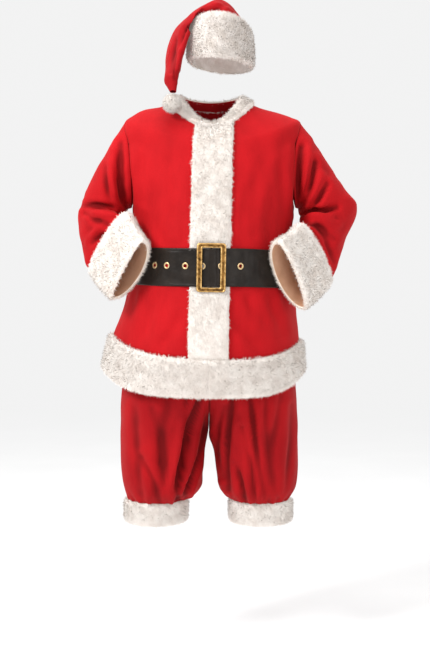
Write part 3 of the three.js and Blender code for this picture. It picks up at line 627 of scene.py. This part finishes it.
# ---------- meshes ----------
def make_piece(name, points, faces, materials, looks=None):
    """Object from points in millimetres and faces of one size, riding on the root body."""
    mesh = bpy.data.meshes.new(name)
    faces = np.asarray(faces, np.int32)
    mesh.vertices.add(len(points))
    mesh.vertices.foreach_set("co", (np.asarray(points) * MM).ravel().astype(np.float32))
    mesh.loops.add(faces.size)
    mesh.loops.foreach_set("vertex_index", faces.ravel())
    mesh.polygons.add(len(faces))
    mesh.polygons.foreach_set("loop_start", np.arange(0, faces.size, faces.shape[1], dtype=np.int32))
    for material in materials:
        mesh.materials.append(material)
    if looks is not None:
        mesh.polygons.foreach_set("material_index", np.asarray(looks, np.int32))
    mesh.polygons.foreach_set("use_smooth", np.ones(len(faces), bool))
    mesh.update(calc_edges=True)
    mesh.validate()
    piece = bpy.data.objects.new(name, mesh)
    bpy.context.scene.collection.objects.link(piece)
    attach(piece, "root")
    return piece


def shell_faces(rows, cols, joined):
    """Quads of a wall between two grids, and which of them are outer (0), inner (1) and edge (2)."""
    def out(i, j):
        return i * cols + j % cols

    def inn(i, j):
        return rows * cols + out(i, j)

    spans = cols if joined else cols - 1
    i, j = (a.ravel() for a in np.meshgrid(np.arange(rows - 1), np.arange(spans), indexing="ij"))
    k, m = np.arange(spans), np.arange(rows - 1)
    end = rows - 1
    groups = [
        (0, (out(i, j), out(i + 1, j), out(i + 1, j + 1), out(i, j + 1))),
        (1, (inn(i, j), inn(i, j + 1), inn(i + 1, j + 1), inn(i + 1, j))),
        (2, (out(0, k), out(0, k + 1), inn(0, k + 1), inn(0, k))),
        (2, (out(end, k), inn(end, k), inn(end, k + 1), out(end, k + 1))),
    ]
    if not joined:
        groups.append((2, (out(m, 0), inn(m, 0), inn(m + 1, 0), out(m + 1, 0))))
        groups.append((2, (out(m, spans), out(m + 1, spans), inn(m + 1, spans), inn(m, spans))))
    faces = np.concatenate([np.stack(corners, -1) for _, corners in groups])
    looks = np.concatenate([np.full(corners[0].shape, look) for look, corners in groups])
    return faces, looks


def facing_out(points, faces):
    a, b, c = (points[faces[:, k]] for k in (0, 1, 2))
    d = points[faces[:, 3]]
    volume = np.einsum("ij,ij->i", a, np.cross(b, c)).sum()
    volume += np.einsum("ij,ij->i", a, np.cross(c, d)).sum()
    return faces if volume > 0 else faces[:, ::-1]


def wall(name, outer, inner, joined, materials):
    """Closed shell between two grids of points."""
    rows, cols = outer.shape[:2]
    faces, looks = shell_faces(rows, cols, joined)
    points = np.concatenate([outer.reshape(-1, 3), inner.reshape(-1, 3)])
    looks = np.minimum(looks, len(materials) - 1)
    return make_piece(name, points, facing_out(points, faces), materials, looks)


def lifted(points, normals, distance):
    return points + normals * np.asarray(distance)[..., None]


# Fold depth in millimetres at which the velour's painted fold shade is full.
CREASE_SHADE_DEPTH = 7.0


def cloth(name, grid, joined, material, swell=0.0):
    points, normals = grid
    outer = lifted(points, normals, swell + np.zeros(points.shape[:2]))
    piece = wall(name, outer, outer - normals * CLOTH, joined, [material])
    # Painted shade: how deep each point sits in a fold, stored on the mesh for the velour to darken its
    # colour there.
    painted_shade = np.clip(-swell / CREASE_SHADE_DEPTH, 0, 1) + np.zeros(points.shape[:2])
    painted_crease_shade = piece.data.attributes.new("painted_crease_shade", "FLOAT", "POINT")
    painted_crease_shade.data.foreach_set("value", np.tile(painted_shade.ravel(), 2).astype(np.float32))
    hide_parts(name)
    return piece, outer


# ---------- fur ----------
def edge_profile(points, soft):
    """How far each place is in from the first and last rows, as 0 at the edge to 1 at soft mm or more."""
    steps = np.linalg.norm(np.diff(points, axis=0), axis=-1)
    run = np.concatenate([np.zeros((1, points.shape[1])), np.cumsum(steps, axis=0)])
    near = np.minimum(run, run[-1] - run)
    t = np.clip(near / soft, 0, 1)
    return np.sqrt(1 - (1 - t) ** 2), run / run[-1]


def scatter(points, normals, joined, count, draw):
    """Random places on a grid: position, normal, direction down the rows, direction along, row share."""
    if joined:
        points = np.concatenate([points, points[:, :1]], 1)
        normals = np.concatenate([normals, normals[:, :1]], 1)
    down = points[1:, :-1] - points[:-1, :-1]
    along = points[:-1, 1:] - points[:-1, :-1]
    area = np.linalg.norm(np.cross(down, along), axis=-1)
    cell = draw.choice(area.size, size=count, p=area.ravel() / area.sum())
    i, j = np.divmod(cell, area.shape[1])
    f, g = draw.random((2, count))[..., None]

    def at(a):
        near = a[i, j] * (1 - f) + a[i + 1, j] * f
        far = a[i, j + 1] * (1 - f) + a[i + 1, j + 1] * f
        return near * (1 - g) + far * g

    share = (i + f[:, 0]) / (points.shape[0] - 1)
    return at(points), unit(at(normals)), unit(down[i, j]), unit(along[i, j]), share


LOCK_POINTS = 5


def tufts(name, roots, normals, lay, length, width, material, draw):
    """Pile of short curved tapering locks that stand at roots and lean along lay."""
    count = len(roots)
    size = (length * draw.uniform(0.65, 1.2, count))[:, None]
    first = unit(normals * 0.34 + lay)
    tip_way = unit(normals * 0.12 + lay + draw.normal(size=(count, 3)) * 0.22)
    across = unit(np.cross(first, normals) + draw.normal(size=(count, 3)) * 0.25) * (width / 2)
    middle = roots + first * size * 0.5
    tip = middle + tip_way * size * 0.55
    points = np.stack([roots - across, roots + across, middle + across * 0.8, middle - across * 0.8, tip], 1)
    base = np.arange(count)[:, None] * LOCK_POINTS
    faces = np.concatenate([base + [0, 1, 2], base + [0, 2, 3], base + [3, 2, 4]])
    piece = make_piece(name, points.reshape(-1, 3), faces, [material])
    soft = np.repeat(unit(normals + first * 0.25), LOCK_POINTS, axis=0)
    piece.data.normals_split_custom_set_from_vertices(soft.astype(np.float32))
    return piece


def fur_trim(name, grid, joined, reach, base, locks, seed, material=None, length=10.0, drift=0.35,
             swell=None, inside=None):
    """Fur trim: a knitted ground with a dense body, and a pile of locks whose tips fray over its edges."""
    material = material or FUR
    draw = np.random.default_rng(seed)
    points, normals = grid
    profile, _ = edge_profile(points, 9)
    body = 2 + (reach * BODY_SHARE - 2) * profile if swell is None else swell(profile)
    body = body + 0.7 * ripple(points, 17, seed) * profile
    outer = lifted(points, normals, body)
    ground = wall(name, outer, lifted(points, normals, np.full(body.shape, base)), joined,
                  [material, inside or material, CREAM])
    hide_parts(name)
    at, normal, down, along, place = scatter(outer, normals, joined, locks, draw)
    edge = 2 * place - 1
    clump = ripple(at, 45, seed + 50)[:, None]
    lay = down * (drift + 0.95 * edge ** 5)[:, None] + along * 0.3 * clump + draw.normal(size=at.shape) * 0.3
    pile = tufts(name + "_pile", at - normal * 0.8, normal, lay, length, 1.5, material, draw)
    return ground, pile, at, place


BODY_LEVELS = np.concatenate([
    np.linspace(0, 4, 30)[:-1],
    ARMHOLE["middle"] - ARMHOLE["reach"] * np.cos(np.linspace(0, np.pi, 36)),
    np.linspace(8, HEM_SEAM, 46)[1:],
])


def side_seam(level, depth):
    row = row_at(TORSO, level)
    return np.maximum(armhole_spread(level), np.degrees(np.arcsin(SEAM_GAP / 2 / row[depth])))


def add_jacket_body():
    v = BODY_LEVELS
    column = v[:, None]
    for side, name in ((-1, "jacket_front_right"), (1, "jacket_front_left")):
        start = angle_of_x(opening_x(v) + side * SEAM_GAP / 2, v)
        u = spread(start, side * (90 - side_seam(v, "front")), 46)
        grid = grid_on(worn_torso, u, column, 1)
        piece, _ = cloth(name, grid, False, JACKET_RED)
    seam = side_seam(v, "back")
    grid = grid_on(worn_torso, spread(90 + seam, 270 - seam, 92), column, 1)
    piece, _ = cloth("jacket_back", grid, False, JACKET_RED)


def trim_sheet(made):
    ground, pile = made[:2]


def add_jacket_fur():
    v = np.linspace(COLLAR_EDGE + 0.02, HEM_SEAM, 120)
    edges = [angle_of_x(opening_x(v) + side * BAND_WIDTH / 2, v) for side in (-1, 1)]
    points, normals = grid_on(worn_torso, spread(edges[0], edges[1], 22), v[:, None], 1)
    across = np.abs(np.linspace(-1, 1, 22))[None, :]
    sides = np.sqrt(1 - np.clip((across - 0.83) / 0.17, 0, 1) ** 2)
    pressed = (fade(v, 9.35, 9.75) * (1 - fade(v, 12.2, 12.6)))[:, None]

    def swell(profile):
        body = 2 + (FUR_REACH * BODY_SHARE - 2) * np.minimum(sides, profile)
        return body * (1 - pressed) + (PRESSED_FUR - 0.9) * pressed

    ground, pile, at, _ = fur_trim("front_fur_band", (points, normals), False, FUR_REACH, SEAM_GAP * 2,
                                   26000, 11, swell=swell, drift=0.55)
    z = at[:, 2]
    under_belt = (z < TORSO["z"][BELT_TOP] - 1) & (z > TORSO["z"][BELT_BOTTOM] + 1)
    drop_locks(pile, under_belt)

    v = np.linspace(HEM_SEAM + 0.005, HEM_END, 18)
    u = round_from_opening(v, 210)
    grid = grid_on(torso, u, v[:, None], 1)
    made = fur_trim("hem_fur_band", grid, False, FUR_REACH, -FUR_BACKING, 55000, 12,
                    length=11, drift=0.5)
    trim_sheet(made)

    v = np.linspace(0.0, COLLAR_EDGE, 12)
    u = round_from_opening(v, 120)
    grid = grid_on(torso, u, v[:, None], 1)
    made = fur_trim("collar_fur", grid, False, COLLAR_REACH, SEAM_GAP, 11000, 13,
                    length=9, drift=0.4)
    trim_sheet(made)


def drop_locks(pile, gone):
    """Removes the locks that are marked."""
    body = bmesh.new()
    body.from_mesh(pile.data)
    body.verts.ensure_lookup_table()
    doomed = [body.verts[LOCK_POINTS * k + i] for k in np.nonzero(gone)[0] for i in range(LOCK_POINTS)]
    bmesh.ops.delete(body, geom=doomed, context="VERTS")
    body.to_mesh(pile.data)
    body.free()


def round_from_opening(v, count):
    """Angles all round a level from the front opening back to it."""
    start = angle_of_x(opening_x(v) + SEAM_GAP / 2, v)
    end = 360 + angle_of_x(opening_x(v) - SEAM_GAP / 2, v)
    return spread(start, end, count)


def add_sleeve(name, rows, side):
    point = sleeve(rows, side)
    angles = np.linspace(0, 360, 73)[:-1][None, :]
    rings = np.linspace(0, CUFF_SEAM, 64)[:, None]
    grid = grid_on(point, angles, rings, -side)
    ends = fade(rings, 0, 0.35) * (1 - fade(rings, 6.4, 6.9))
    swell = (fold_offset(grid[0], SLEEVE_FOLDS) + 1.2 * ripple(grid[0], 60, 21)) * ends
    piece, _ = cloth(f"sleeve_{name}", grid, True, JACKET_RED, swell)
    rings = np.linspace(CUFF_SEAM + 0.01, CUFF_RIM, 30)[:, None]
    grid = grid_on(point, np.linspace(0, 360, 97)[:-1][None, :], rings, -side)
    made = fur_trim(f"cuff_fur_{name}", grid, True, CUFF_REACH, -FUR_BACKING, 19000, 31 + side, CUFF_FUR, 9,
                    drift=-0.1, inside=PEACH)
    trim_sheet(made)


def add_trousers():
    levels = np.linspace(0, 12, 90)[:, None]
    trim = 0.0012
    for side, name in ((-1, "right"), (1, "left")):
        point = trouser_leg(side)
        for part, first in (("front", 0), ("back", 1)):
            place = np.linspace(first + trim, first + 1 - trim, 52)[None, :]
            grid = grid_on(point, place, levels, side)
            shown = fade(levels, 3, 4.2) * (1 - fade(levels, 11.3, 11.95))
            middle = 0.25 + 0.75 * fade(np.minimum(place - first, first + 1 - place), 0, 0.08)
            gather = 2.2 * fade(levels, 9.6, 11.2) * np.sin(np.arctan2(
                grid[0][..., 0] - LEG_CUFF[name], grid[0][..., 1]) * 19 + 1.5 * np.sin(grid[0][..., 0] / 17))
            folds = fold_offset(grid[0], TROUSER_FOLDS) + 1.5 * ripple(grid[0], 80, 40 + side) + gather
            swell = folds * shown * middle
            full = f"trousers_{part}_{name}"
            piece, _ = cloth(full, grid, False, TROUSER_RED, swell)
        angles = np.linspace(0, 360, 121)[:-1][None, :]
        grid = grid_on(leg_cuff(LEG_CUFF[name]), angles, np.linspace(0, 1, 20)[:, None], 1)
        made = fur_trim(f"leg_cuff_fur_{name}", grid, True, FUR_REACH, -FUR_BACKING, 15000, 45 + side,
                        length=10, drift=0.5, inside=PEACH)
        trim_sheet(made)
    angles = np.linspace(0, 360, 181)[:-1][None, :]
    points, normals = grid_on(waistband, angles, np.linspace(0, 1, 15)[:, None], 1)
    rib = 0.5 * np.sin(np.linspace(0, 14 * np.pi, 15))[:, None] + 0 * points[..., 0]
    outer, inner = lifted(points, normals, 1 + rib), lifted(points, normals, rib - 3)
    piece = wall("trousers_waistband", outer, inner, True, [ELASTIC])
    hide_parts("trousers_waistband")


def add_hat():
    rings = np.linspace(0, 10, 96)
    trim = SEAM_GAP * 0.8 / np.abs(row_at(CROWN, rings)["fy"])
    for name, first in (("front", 0), ("back", 180)):
        u = spread(first + np.degrees(trim), first + 180 - np.degrees(trim), 40)
        points, normals = grid_on(crown, u, rings[:, None], 1)
        row = {k: c[0] for k, c in CROWN.items()}
        normals[0] = unit(points[0] - np.array([row["x"], row["y"], row["z"]]))
        shown = fade(rings, 0.05, 0.5)[:, None] * (1 - 0.6 * fade(rings, 8, 10)[:, None])
        swell = (fold_offset(points, HAT_FOLDS) + 1.0 * ripple(points, 34, 61)) * shown
        piece, _ = cloth(f"hat_crown_{name}", (points, normals), False, HAT_RED, swell)
    angles = np.linspace(0, 360, 145)[:-1][None, :]
    points, normals = grid_on(hat_band, angles, np.linspace(0, 3, 28)[:, None], -1)
    centre = np.array([CROWN["x"][0], CROWN["y"][0], CROWN["z"][0]])
    normals[-1] = unit(points[-1] - centre)
    made = fur_trim("hat_fur_band", (points, normals), True, FUR_REACH, -FUR_BACKING, 27000, 62, HAT_FUR, 9,
                    drift=0.05)
    trim_sheet(made)


def add_pompom():
    draw = np.random.default_rng(71)
    centre = np.array([POMPOM["x"], POMPOM["y"], POMPOM["z"]])
    core = POMPOM["r"] * 0.72
    turns, rows = 40, 24
    polar = np.linspace(0.02, np.pi - 0.02, rows)[:, None]
    around = np.linspace(0, 2 * np.pi, turns + 1)[:-1][None, :]
    flat = np.sin(polar)
    way = np.stack([flat * np.cos(around), flat * np.sin(around), np.cos(polar) + 0 * around], -1)
    lumpy = core * (1 + 0.07 * ripple(way * 30, 22, 72))[..., None]
    outer = centre + way * lumpy
    faces, _ = shell_faces(rows, turns, True)
    points = np.concatenate([outer.reshape(-1, 3), (centre + way * lumpy * 0.3).reshape(-1, 3)])
    ball = make_piece("hat_pompom", points, facing_out(points, faces), [FUR])
    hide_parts("hat_pompom")
    count = 14000
    out = unit(draw.normal(size=(count, 3)))
    lay = unit(draw.normal(size=(count, 3))) * 0.55
    tufts("hat_pompom_pile", centre + out * core * 0.9, out, lay, 10.5, 1.7, FUR, draw)


# ---------- belt ----------
def strap_sag(angle):
    a = np.mod(angle, 360)
    return np.where((a < 8) | (a > 130), 0, STRAP_SAG * np.sin((a - 8) / 122 * np.pi) ** 2)


STRAP_WIDTH = TORSO["z"][BELT_TOP] - TORSO["z"][BELT_BOTTOM]
BELLY_FRONT = TORSO["front"][11]


def strap_middle(angle, place):
    level = BELT_TOP + (BELT_BOTTOM - BELT_TOP) * (place + strap_sag(angle) / STRAP_WIDTH)
    out = normal_of(torso, angle, level, 1)
    out[..., 2] = 0
    clear = np.interp(angle, STRAP_PATH["angle"], STRAP_PATH["out"])
    return torso(angle, level) + unit(out) * clear[..., None]


BAR_Y = -BELLY_FRONT - (STRAP_PATH["out"][0] + STRAP_THICKNESS / 2 + SEAM_GAP + BAR / 2)


def strap_frame(angle):
    """Axes along, up and out of the strap at an eyelet, and its place."""
    a, place = np.array(angle, float), np.array(EYELET_PLACE)
    along = unit(strap_middle(a + 1, place) - strap_middle(a - 1, place))
    rise = strap_middle(a, place - 0.06) - strap_middle(a, place + 0.14)
    out = unit(np.cross(along, rise))
    return along, np.cross(out, along), out, strap_middle(a, place)


def eyelet_angles():
    return [360 + math.degrees(distance / BELLY_FRONT) for distance in EYELETS]


def add_belt():
    rows = 33
    place = np.linspace(0, 1, rows)
    angles = np.concatenate([np.linspace(3.5, 22, 24)[:-1], np.linspace(22, 318, 150)[:-1],
                             np.linspace(318, 360 + STRAP_TIP_ANGLE, 150)])
    turn = BAR / 2 + SEAM_GAP + STRAP_THICKNESS / 2
    fold = [(9, BAR_Y - turn), (4.5, BAR_Y - turn)]
    half_turn = np.linspace(np.pi / 2, 1.5 * np.pi, 14)
    fold += [(turn * 1.3 * math.cos(a), BAR_Y - turn * math.sin(a)) for a in half_turn]
    z = TORSO["z"][BELT_TOP] - place * STRAP_WIDTH
    loop = np.stack([np.stack([np.full(rows, x), np.full(rows, y), z], -1) for x, y in fold], 1)
    round_waist = strap_middle(angles[None, :] + 0 * place[:, None], place[:, None] + 0 * angles)
    strap = np.concatenate([loop, round_waist], 1)
    along = np.gradient(strap, axis=1)
    normal = unit(np.cross(along, strap[:1] - strap[-1:]))
    arc = np.minimum(place, 1 - place)[:, None] * STRAP_WIDTH
    welt = 0.55 * np.exp(-((arc - 3.2) / 2.0) ** 2) - 0.5 * np.exp(-((arc - 6.4) / 1.1) ** 2)
    soft = fade(arc, 4, 14)
    x = strap[..., 0]
    tail = fade(angles, 322, 336) * (1 - fade(angles, 352, 358))
    tail = np.concatenate([np.zeros(len(fold)), tail])[None, :]
    wrinkle = (0.7 * ripple(strap, 34, 81) + 0.3 * ripple(strap, 13, 82)) * soft
    pull = 0.9 * tail * soft * np.sin((strap[..., 2] + 460) / 9 + x / 26) * fade(-strap[..., 2], 470, 500)
    thin = STRAP_THICKNESS / 2 * np.sqrt(np.clip(1 - (1 - np.clip(arc / 1.2, 0, 1)) ** 2, 0.12, 1)) + 0 * x
    face = thin + np.clip(welt + wrinkle + pull, -0.8, 0.9)
    outer, inner = lifted(strap, normal, face), lifted(strap, normal, -thin)
    piece = wall("belt_strap_leather", outer, inner, False, [LEATHERETTE])
    punch_holes(piece)
    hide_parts("belt_strap")
    for i, angle in enumerate(eyelet_angles()):
        add_eyelet(i + 1, angle)


def ring_mesh(profile, turns):
    """Points of a closed ring turned about its axis from (radius, height) pairs."""
    around = np.linspace(0, 2 * np.pi, turns + 1)[:-1]
    r, h = np.array(profile, float).T
    ring = np.outer(r, np.cos(around)), np.outer(r, np.sin(around)), np.outer(h, np.ones(turns))
    points = np.stack(ring, -1)
    n = len(profile)
    i, j = (a.ravel() for a in np.meshgrid(np.arange(n), np.arange(turns), indexing="ij"))
    k, m = (i + 1) % n, (j + 1) % turns
    faces = np.stack([i * turns + j, i * turns + m, k * turns + m, k * turns + j], -1)
    return points.reshape(-1, 3), faces


def placed(points, frame_axes):
    along, up, out, at = frame_axes
    return at + points @ np.stack([along, up, out])


def add_eyelet(number, angle):
    top = STRAP_THICKNESS / 2 + SEAM_GAP
    barrel = EYELET_HOLE_R + 0.65
    profile = [(EYELET_HOLE_R, -1), (barrel, -1), (barrel, top), (EYELET_OUTER_R, top)]
    profile += [(EYELET_OUTER_R + 0.1, top + 0.35)]
    middle = (EYELET_OUTER_R + EYELET_HOLE_R) / 2
    half = (EYELET_OUTER_R - EYELET_HOLE_R) / 2
    arc = np.linspace(0.15, np.pi - 0.1, 9)
    profile += [(middle + half * math.cos(t), top + 0.35 + 1.15 * math.sin(t)) for t in arc]
    points, faces = ring_mesh(profile, 40)
    points = placed(points, strap_frame(angle))
    faces = facing_out(points, faces)
    piece = make_piece(f"eyelet_{number}_ring", points, faces, [EYELET_GOLD])
    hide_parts(f"eyelet_{number}")


def punch_holes(piece):
    """Cuts the eyelets' holes out of the strap."""
    punches = []
    for angle in eyelet_angles():
        bpy.ops.mesh.primitive_cylinder_add(vertices=28, radius=STRAP_HOLE_R * MM, depth=8 * MM)
        punch = bpy.context.object
        points, _ = np.array([v.co for v in punch.data.vertices]), None
        points = placed(points / MM, strap_frame(angle)) * MM
        punch.data.vertices.foreach_set("co", points.ravel().astype(np.float32))
        punch.data.update()
        punches.append(punch)
    for punch in punches:
        cut = piece.modifiers.new("hole", "BOOLEAN")
        cut.operation = "DIFFERENCE"
        cut.solver = "EXACT"
        cut.object = punch
    ready = piece.evaluated_get(bpy.context.evaluated_depsgraph_get())
    mesh = bpy.data.meshes.new_from_object(ready)
    piece.modifiers.clear()
    piece.data = mesh
    for punch in punches:
        bpy.data.objects.remove(punch)


def rounded_rect(width, height, corner, steps=8):
    points = []
    for cx, cy, start in ((1, 1, 0), (-1, 1, 90), (-1, -1, 180), (1, -1, 270)):
        for a in np.radians(np.linspace(start, start + 90, steps)):
            points.append((cx * (width / 2 - corner) + corner * math.cos(a),
                           cy * (height / 2 - corner) + corner * math.sin(a)))
    return np.array(points)


def add_buckle():
    """Frame with a raised bright rim along both edges and a dished, mottled middle, and its hidden bar."""
    b = BUCKLE
    back = BAR / 2 + 0.2
    front = back + b["thickness"]
    rings = [  # how far across the side from the outer edge, and height
        (0.0, back), (0.0, front - 1.5), (0.06, front - 0.5), (0.13, front), (0.19, front - 0.2),
        (0.26, front - 1.2), (0.36, front - 1.5), (0.5, front - 1.6), (0.64, front - 1.5),
        (0.74, front - 1.2), (0.81, front - 0.2),
        (0.87, front), (0.94, front - 0.5), (1.0, front - 1.5), (1.0, back),
    ]
    bright = [0, 1, 1, 1, 1, 0, 0, 0, 0, 1, 1, 1, 1, 0, 0]
    loops = []
    for share, height in rings:
        width = b["width"] - 2 * b["side"] * share
        tall = b["height"] - 2 * b["end"] * share
        flat = rounded_rect(width, tall, b["corner"] + (2.5 - b["corner"]) * share)
        loops.append(np.column_stack([flat, np.full(len(flat), height)]))
    cols = len(loops[0])
    n = len(rings)
    i, j = (a.ravel() for a in np.meshgrid(np.arange(n), np.arange(cols), indexing="ij"))
    k, m = (i + 1) % n, (j + 1) % cols
    faces = np.stack([i * cols + j, i * cols + m, k * cols + m, k * cols + j], -1)
    looks = np.array(bright)[i]
    points = np.concatenate(loops)
    around = np.linspace(0, 2 * np.pi, 17)[:-1]
    rod_rows = np.linspace(-BAR_LENGTH / 2, BAR_LENGTH / 2, 8)
    radius = BAR / 2 * np.array([0.05, 1, 1, 1, 1, 1, 1, 0.05])
    rod_rows[1], rod_rows[-2] = rod_rows[0] + 0.05, rod_rows[-1] - 0.05
    rod = np.stack([np.outer(radius, np.cos(around)), np.outer(rod_rows, np.ones(16)),
                    np.outer(radius, np.sin(around))], -1).reshape(-1, 3)
    ri, rj = (a.ravel() for a in np.meshgrid(np.arange(7), np.arange(16), indexing="ij"))
    rm = (rj + 1) % 16
    rod_faces = np.stack([ri * 16 + rj, ri * 16 + rm, (ri + 1) * 16 + rm, (ri + 1) * 16 + rj], -1)
    roll = math.radians(-BUCKLE_ROLL)
    turn = np.array([[math.cos(roll), math.sin(roll)], [-math.sin(roll), math.cos(roll)]])

    def stand(p):
        flat = p[:, :2] @ turn
        return np.column_stack([flat[:, 0], BAR_Y - p[:, 2], TORSO["z"][11] + flat[:, 1]])

    frame_points, rod_points = stand(points), stand(rod)
    all_points = np.concatenate([frame_points, rod_points])
    all_faces = np.concatenate([facing_out(frame_points, faces),
                                facing_out(rod_points, rod_faces) + len(frame_points)])
    looks = np.concatenate([looks, np.zeros(len(rod_faces), int)])
    piece = make_piece("buckle", all_points, all_faces, [ANTIQUE, BRIGHT_GOLD], looks)
    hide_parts("buckle_frame")


# ---------- studio ----------
FLOOR_Z = -1.552
FLOOR_REACH = 30
STUDIO_WHITE = 0.64
LIGHTS = [  # name, place, size, watts
    ("key", (-2.9, -2.6, 2.2), 1.3, 125),
    ("fill", (2.2, -3.6, 0.1), 2.4, 20),
    ("top", (-0.3, 0.2, 2.6), 1.8, 34),
]


def floor_material():
    """Pale floor that fades with distance into the studio's white."""
    material, tree, shader = new_material("studio_floor", 0.9, {"Specular IOR Level": 0.1})
    pale = ramp(tree, noise(tree, 3, 2), [(0.3, (0.85,) * 3), (0.7, (0.88,) * 3)])
    tree.links.new(pale, shader.inputs["Base Color"])
    place = tree.nodes.new("ShaderNodeTexCoord")
    reach = tree.nodes.new("ShaderNodeVectorMath")
    reach.operation = "LENGTH"
    tree.links.new(place.outputs["Object"], reach.inputs[0])
    away = tree.nodes.new("ShaderNodeMapRange")
    away.inputs["From Min"].default_value = 1.2
    away.inputs["From Max"].default_value = 5.0
    tree.links.new(reach.outputs["Value"], away.inputs["Value"])
    glow = tree.nodes.new("ShaderNodeEmission")
    glow.inputs["Color"].default_value = (STUDIO_WHITE, STUDIO_WHITE, STUDIO_WHITE, 1)
    mix = tree.nodes.new("ShaderNodeMixShader")
    tree.links.new(away.outputs["Result"], mix.inputs["Fac"])
    tree.links.new(shader.outputs["BSDF"], mix.inputs[1])
    tree.links.new(glow.outputs["Emission"], mix.inputs[2])
    tree.links.new(mix.outputs["Shader"], tree.nodes["Material Output"].inputs["Surface"])
    return material


def add_studio():
    bpy.ops.mesh.primitive_plane_add(size=2 * FLOOR_REACH, location=(0, 0, FLOOR_Z))
    floor = bpy.context.object
    floor.name = "studio_floor"
    floor.data.materials.append(floor_material())
    world = bpy.data.worlds.new("studio")
    world.use_nodes = True
    background = world.node_tree.nodes["Background"]
    background.inputs["Color"].default_value = (STUDIO_WHITE, STUDIO_WHITE, STUDIO_WHITE, 1)
    bpy.context.scene.world = world
    for name, place, size, watts in LIGHTS:
        light = bpy.data.lights.new(name, "AREA")
        light.size = size
        light.energy = watts
        lamp = bpy.data.objects.new(name, light)
        lamp.location = place
        aim = np.array([0, 0, -0.5]) - np.array(place)
        lamp.rotation_euler = (math.acos(-aim[2] / np.linalg.norm(aim)), 0, math.atan2(-aim[0], aim[1]))
        bpy.context.scene.collection.objects.link(lamp)


def add_camera():
    camera = bpy.data.cameras.new("camera")
    camera.lens = 73.5
    camera.sensor_width = 36
    eye = bpy.data.objects.new("camera", camera)
    eye.location = (0.010, -3.8, -0.33)
    eye.rotation_euler = (math.radians(90 - 4.83), 0, 0)
    bpy.context.scene.collection.objects.link(eye)
    bpy.context.scene.camera = eye


add_camera()
add_studio()
add_jacket_body()
add_jacket_fur()
add_sleeve("right", SLEEVE_RIGHT, -1)
add_sleeve("left", SLEEVE_LEFT, 1)
add_trousers()
add_hat()
add_pompom()
add_belt()
add_buckle()
bpy.context.scene.view_settings.view_transform = "Standard"
bpy.context.scene.view_settings.exposure = 0.48
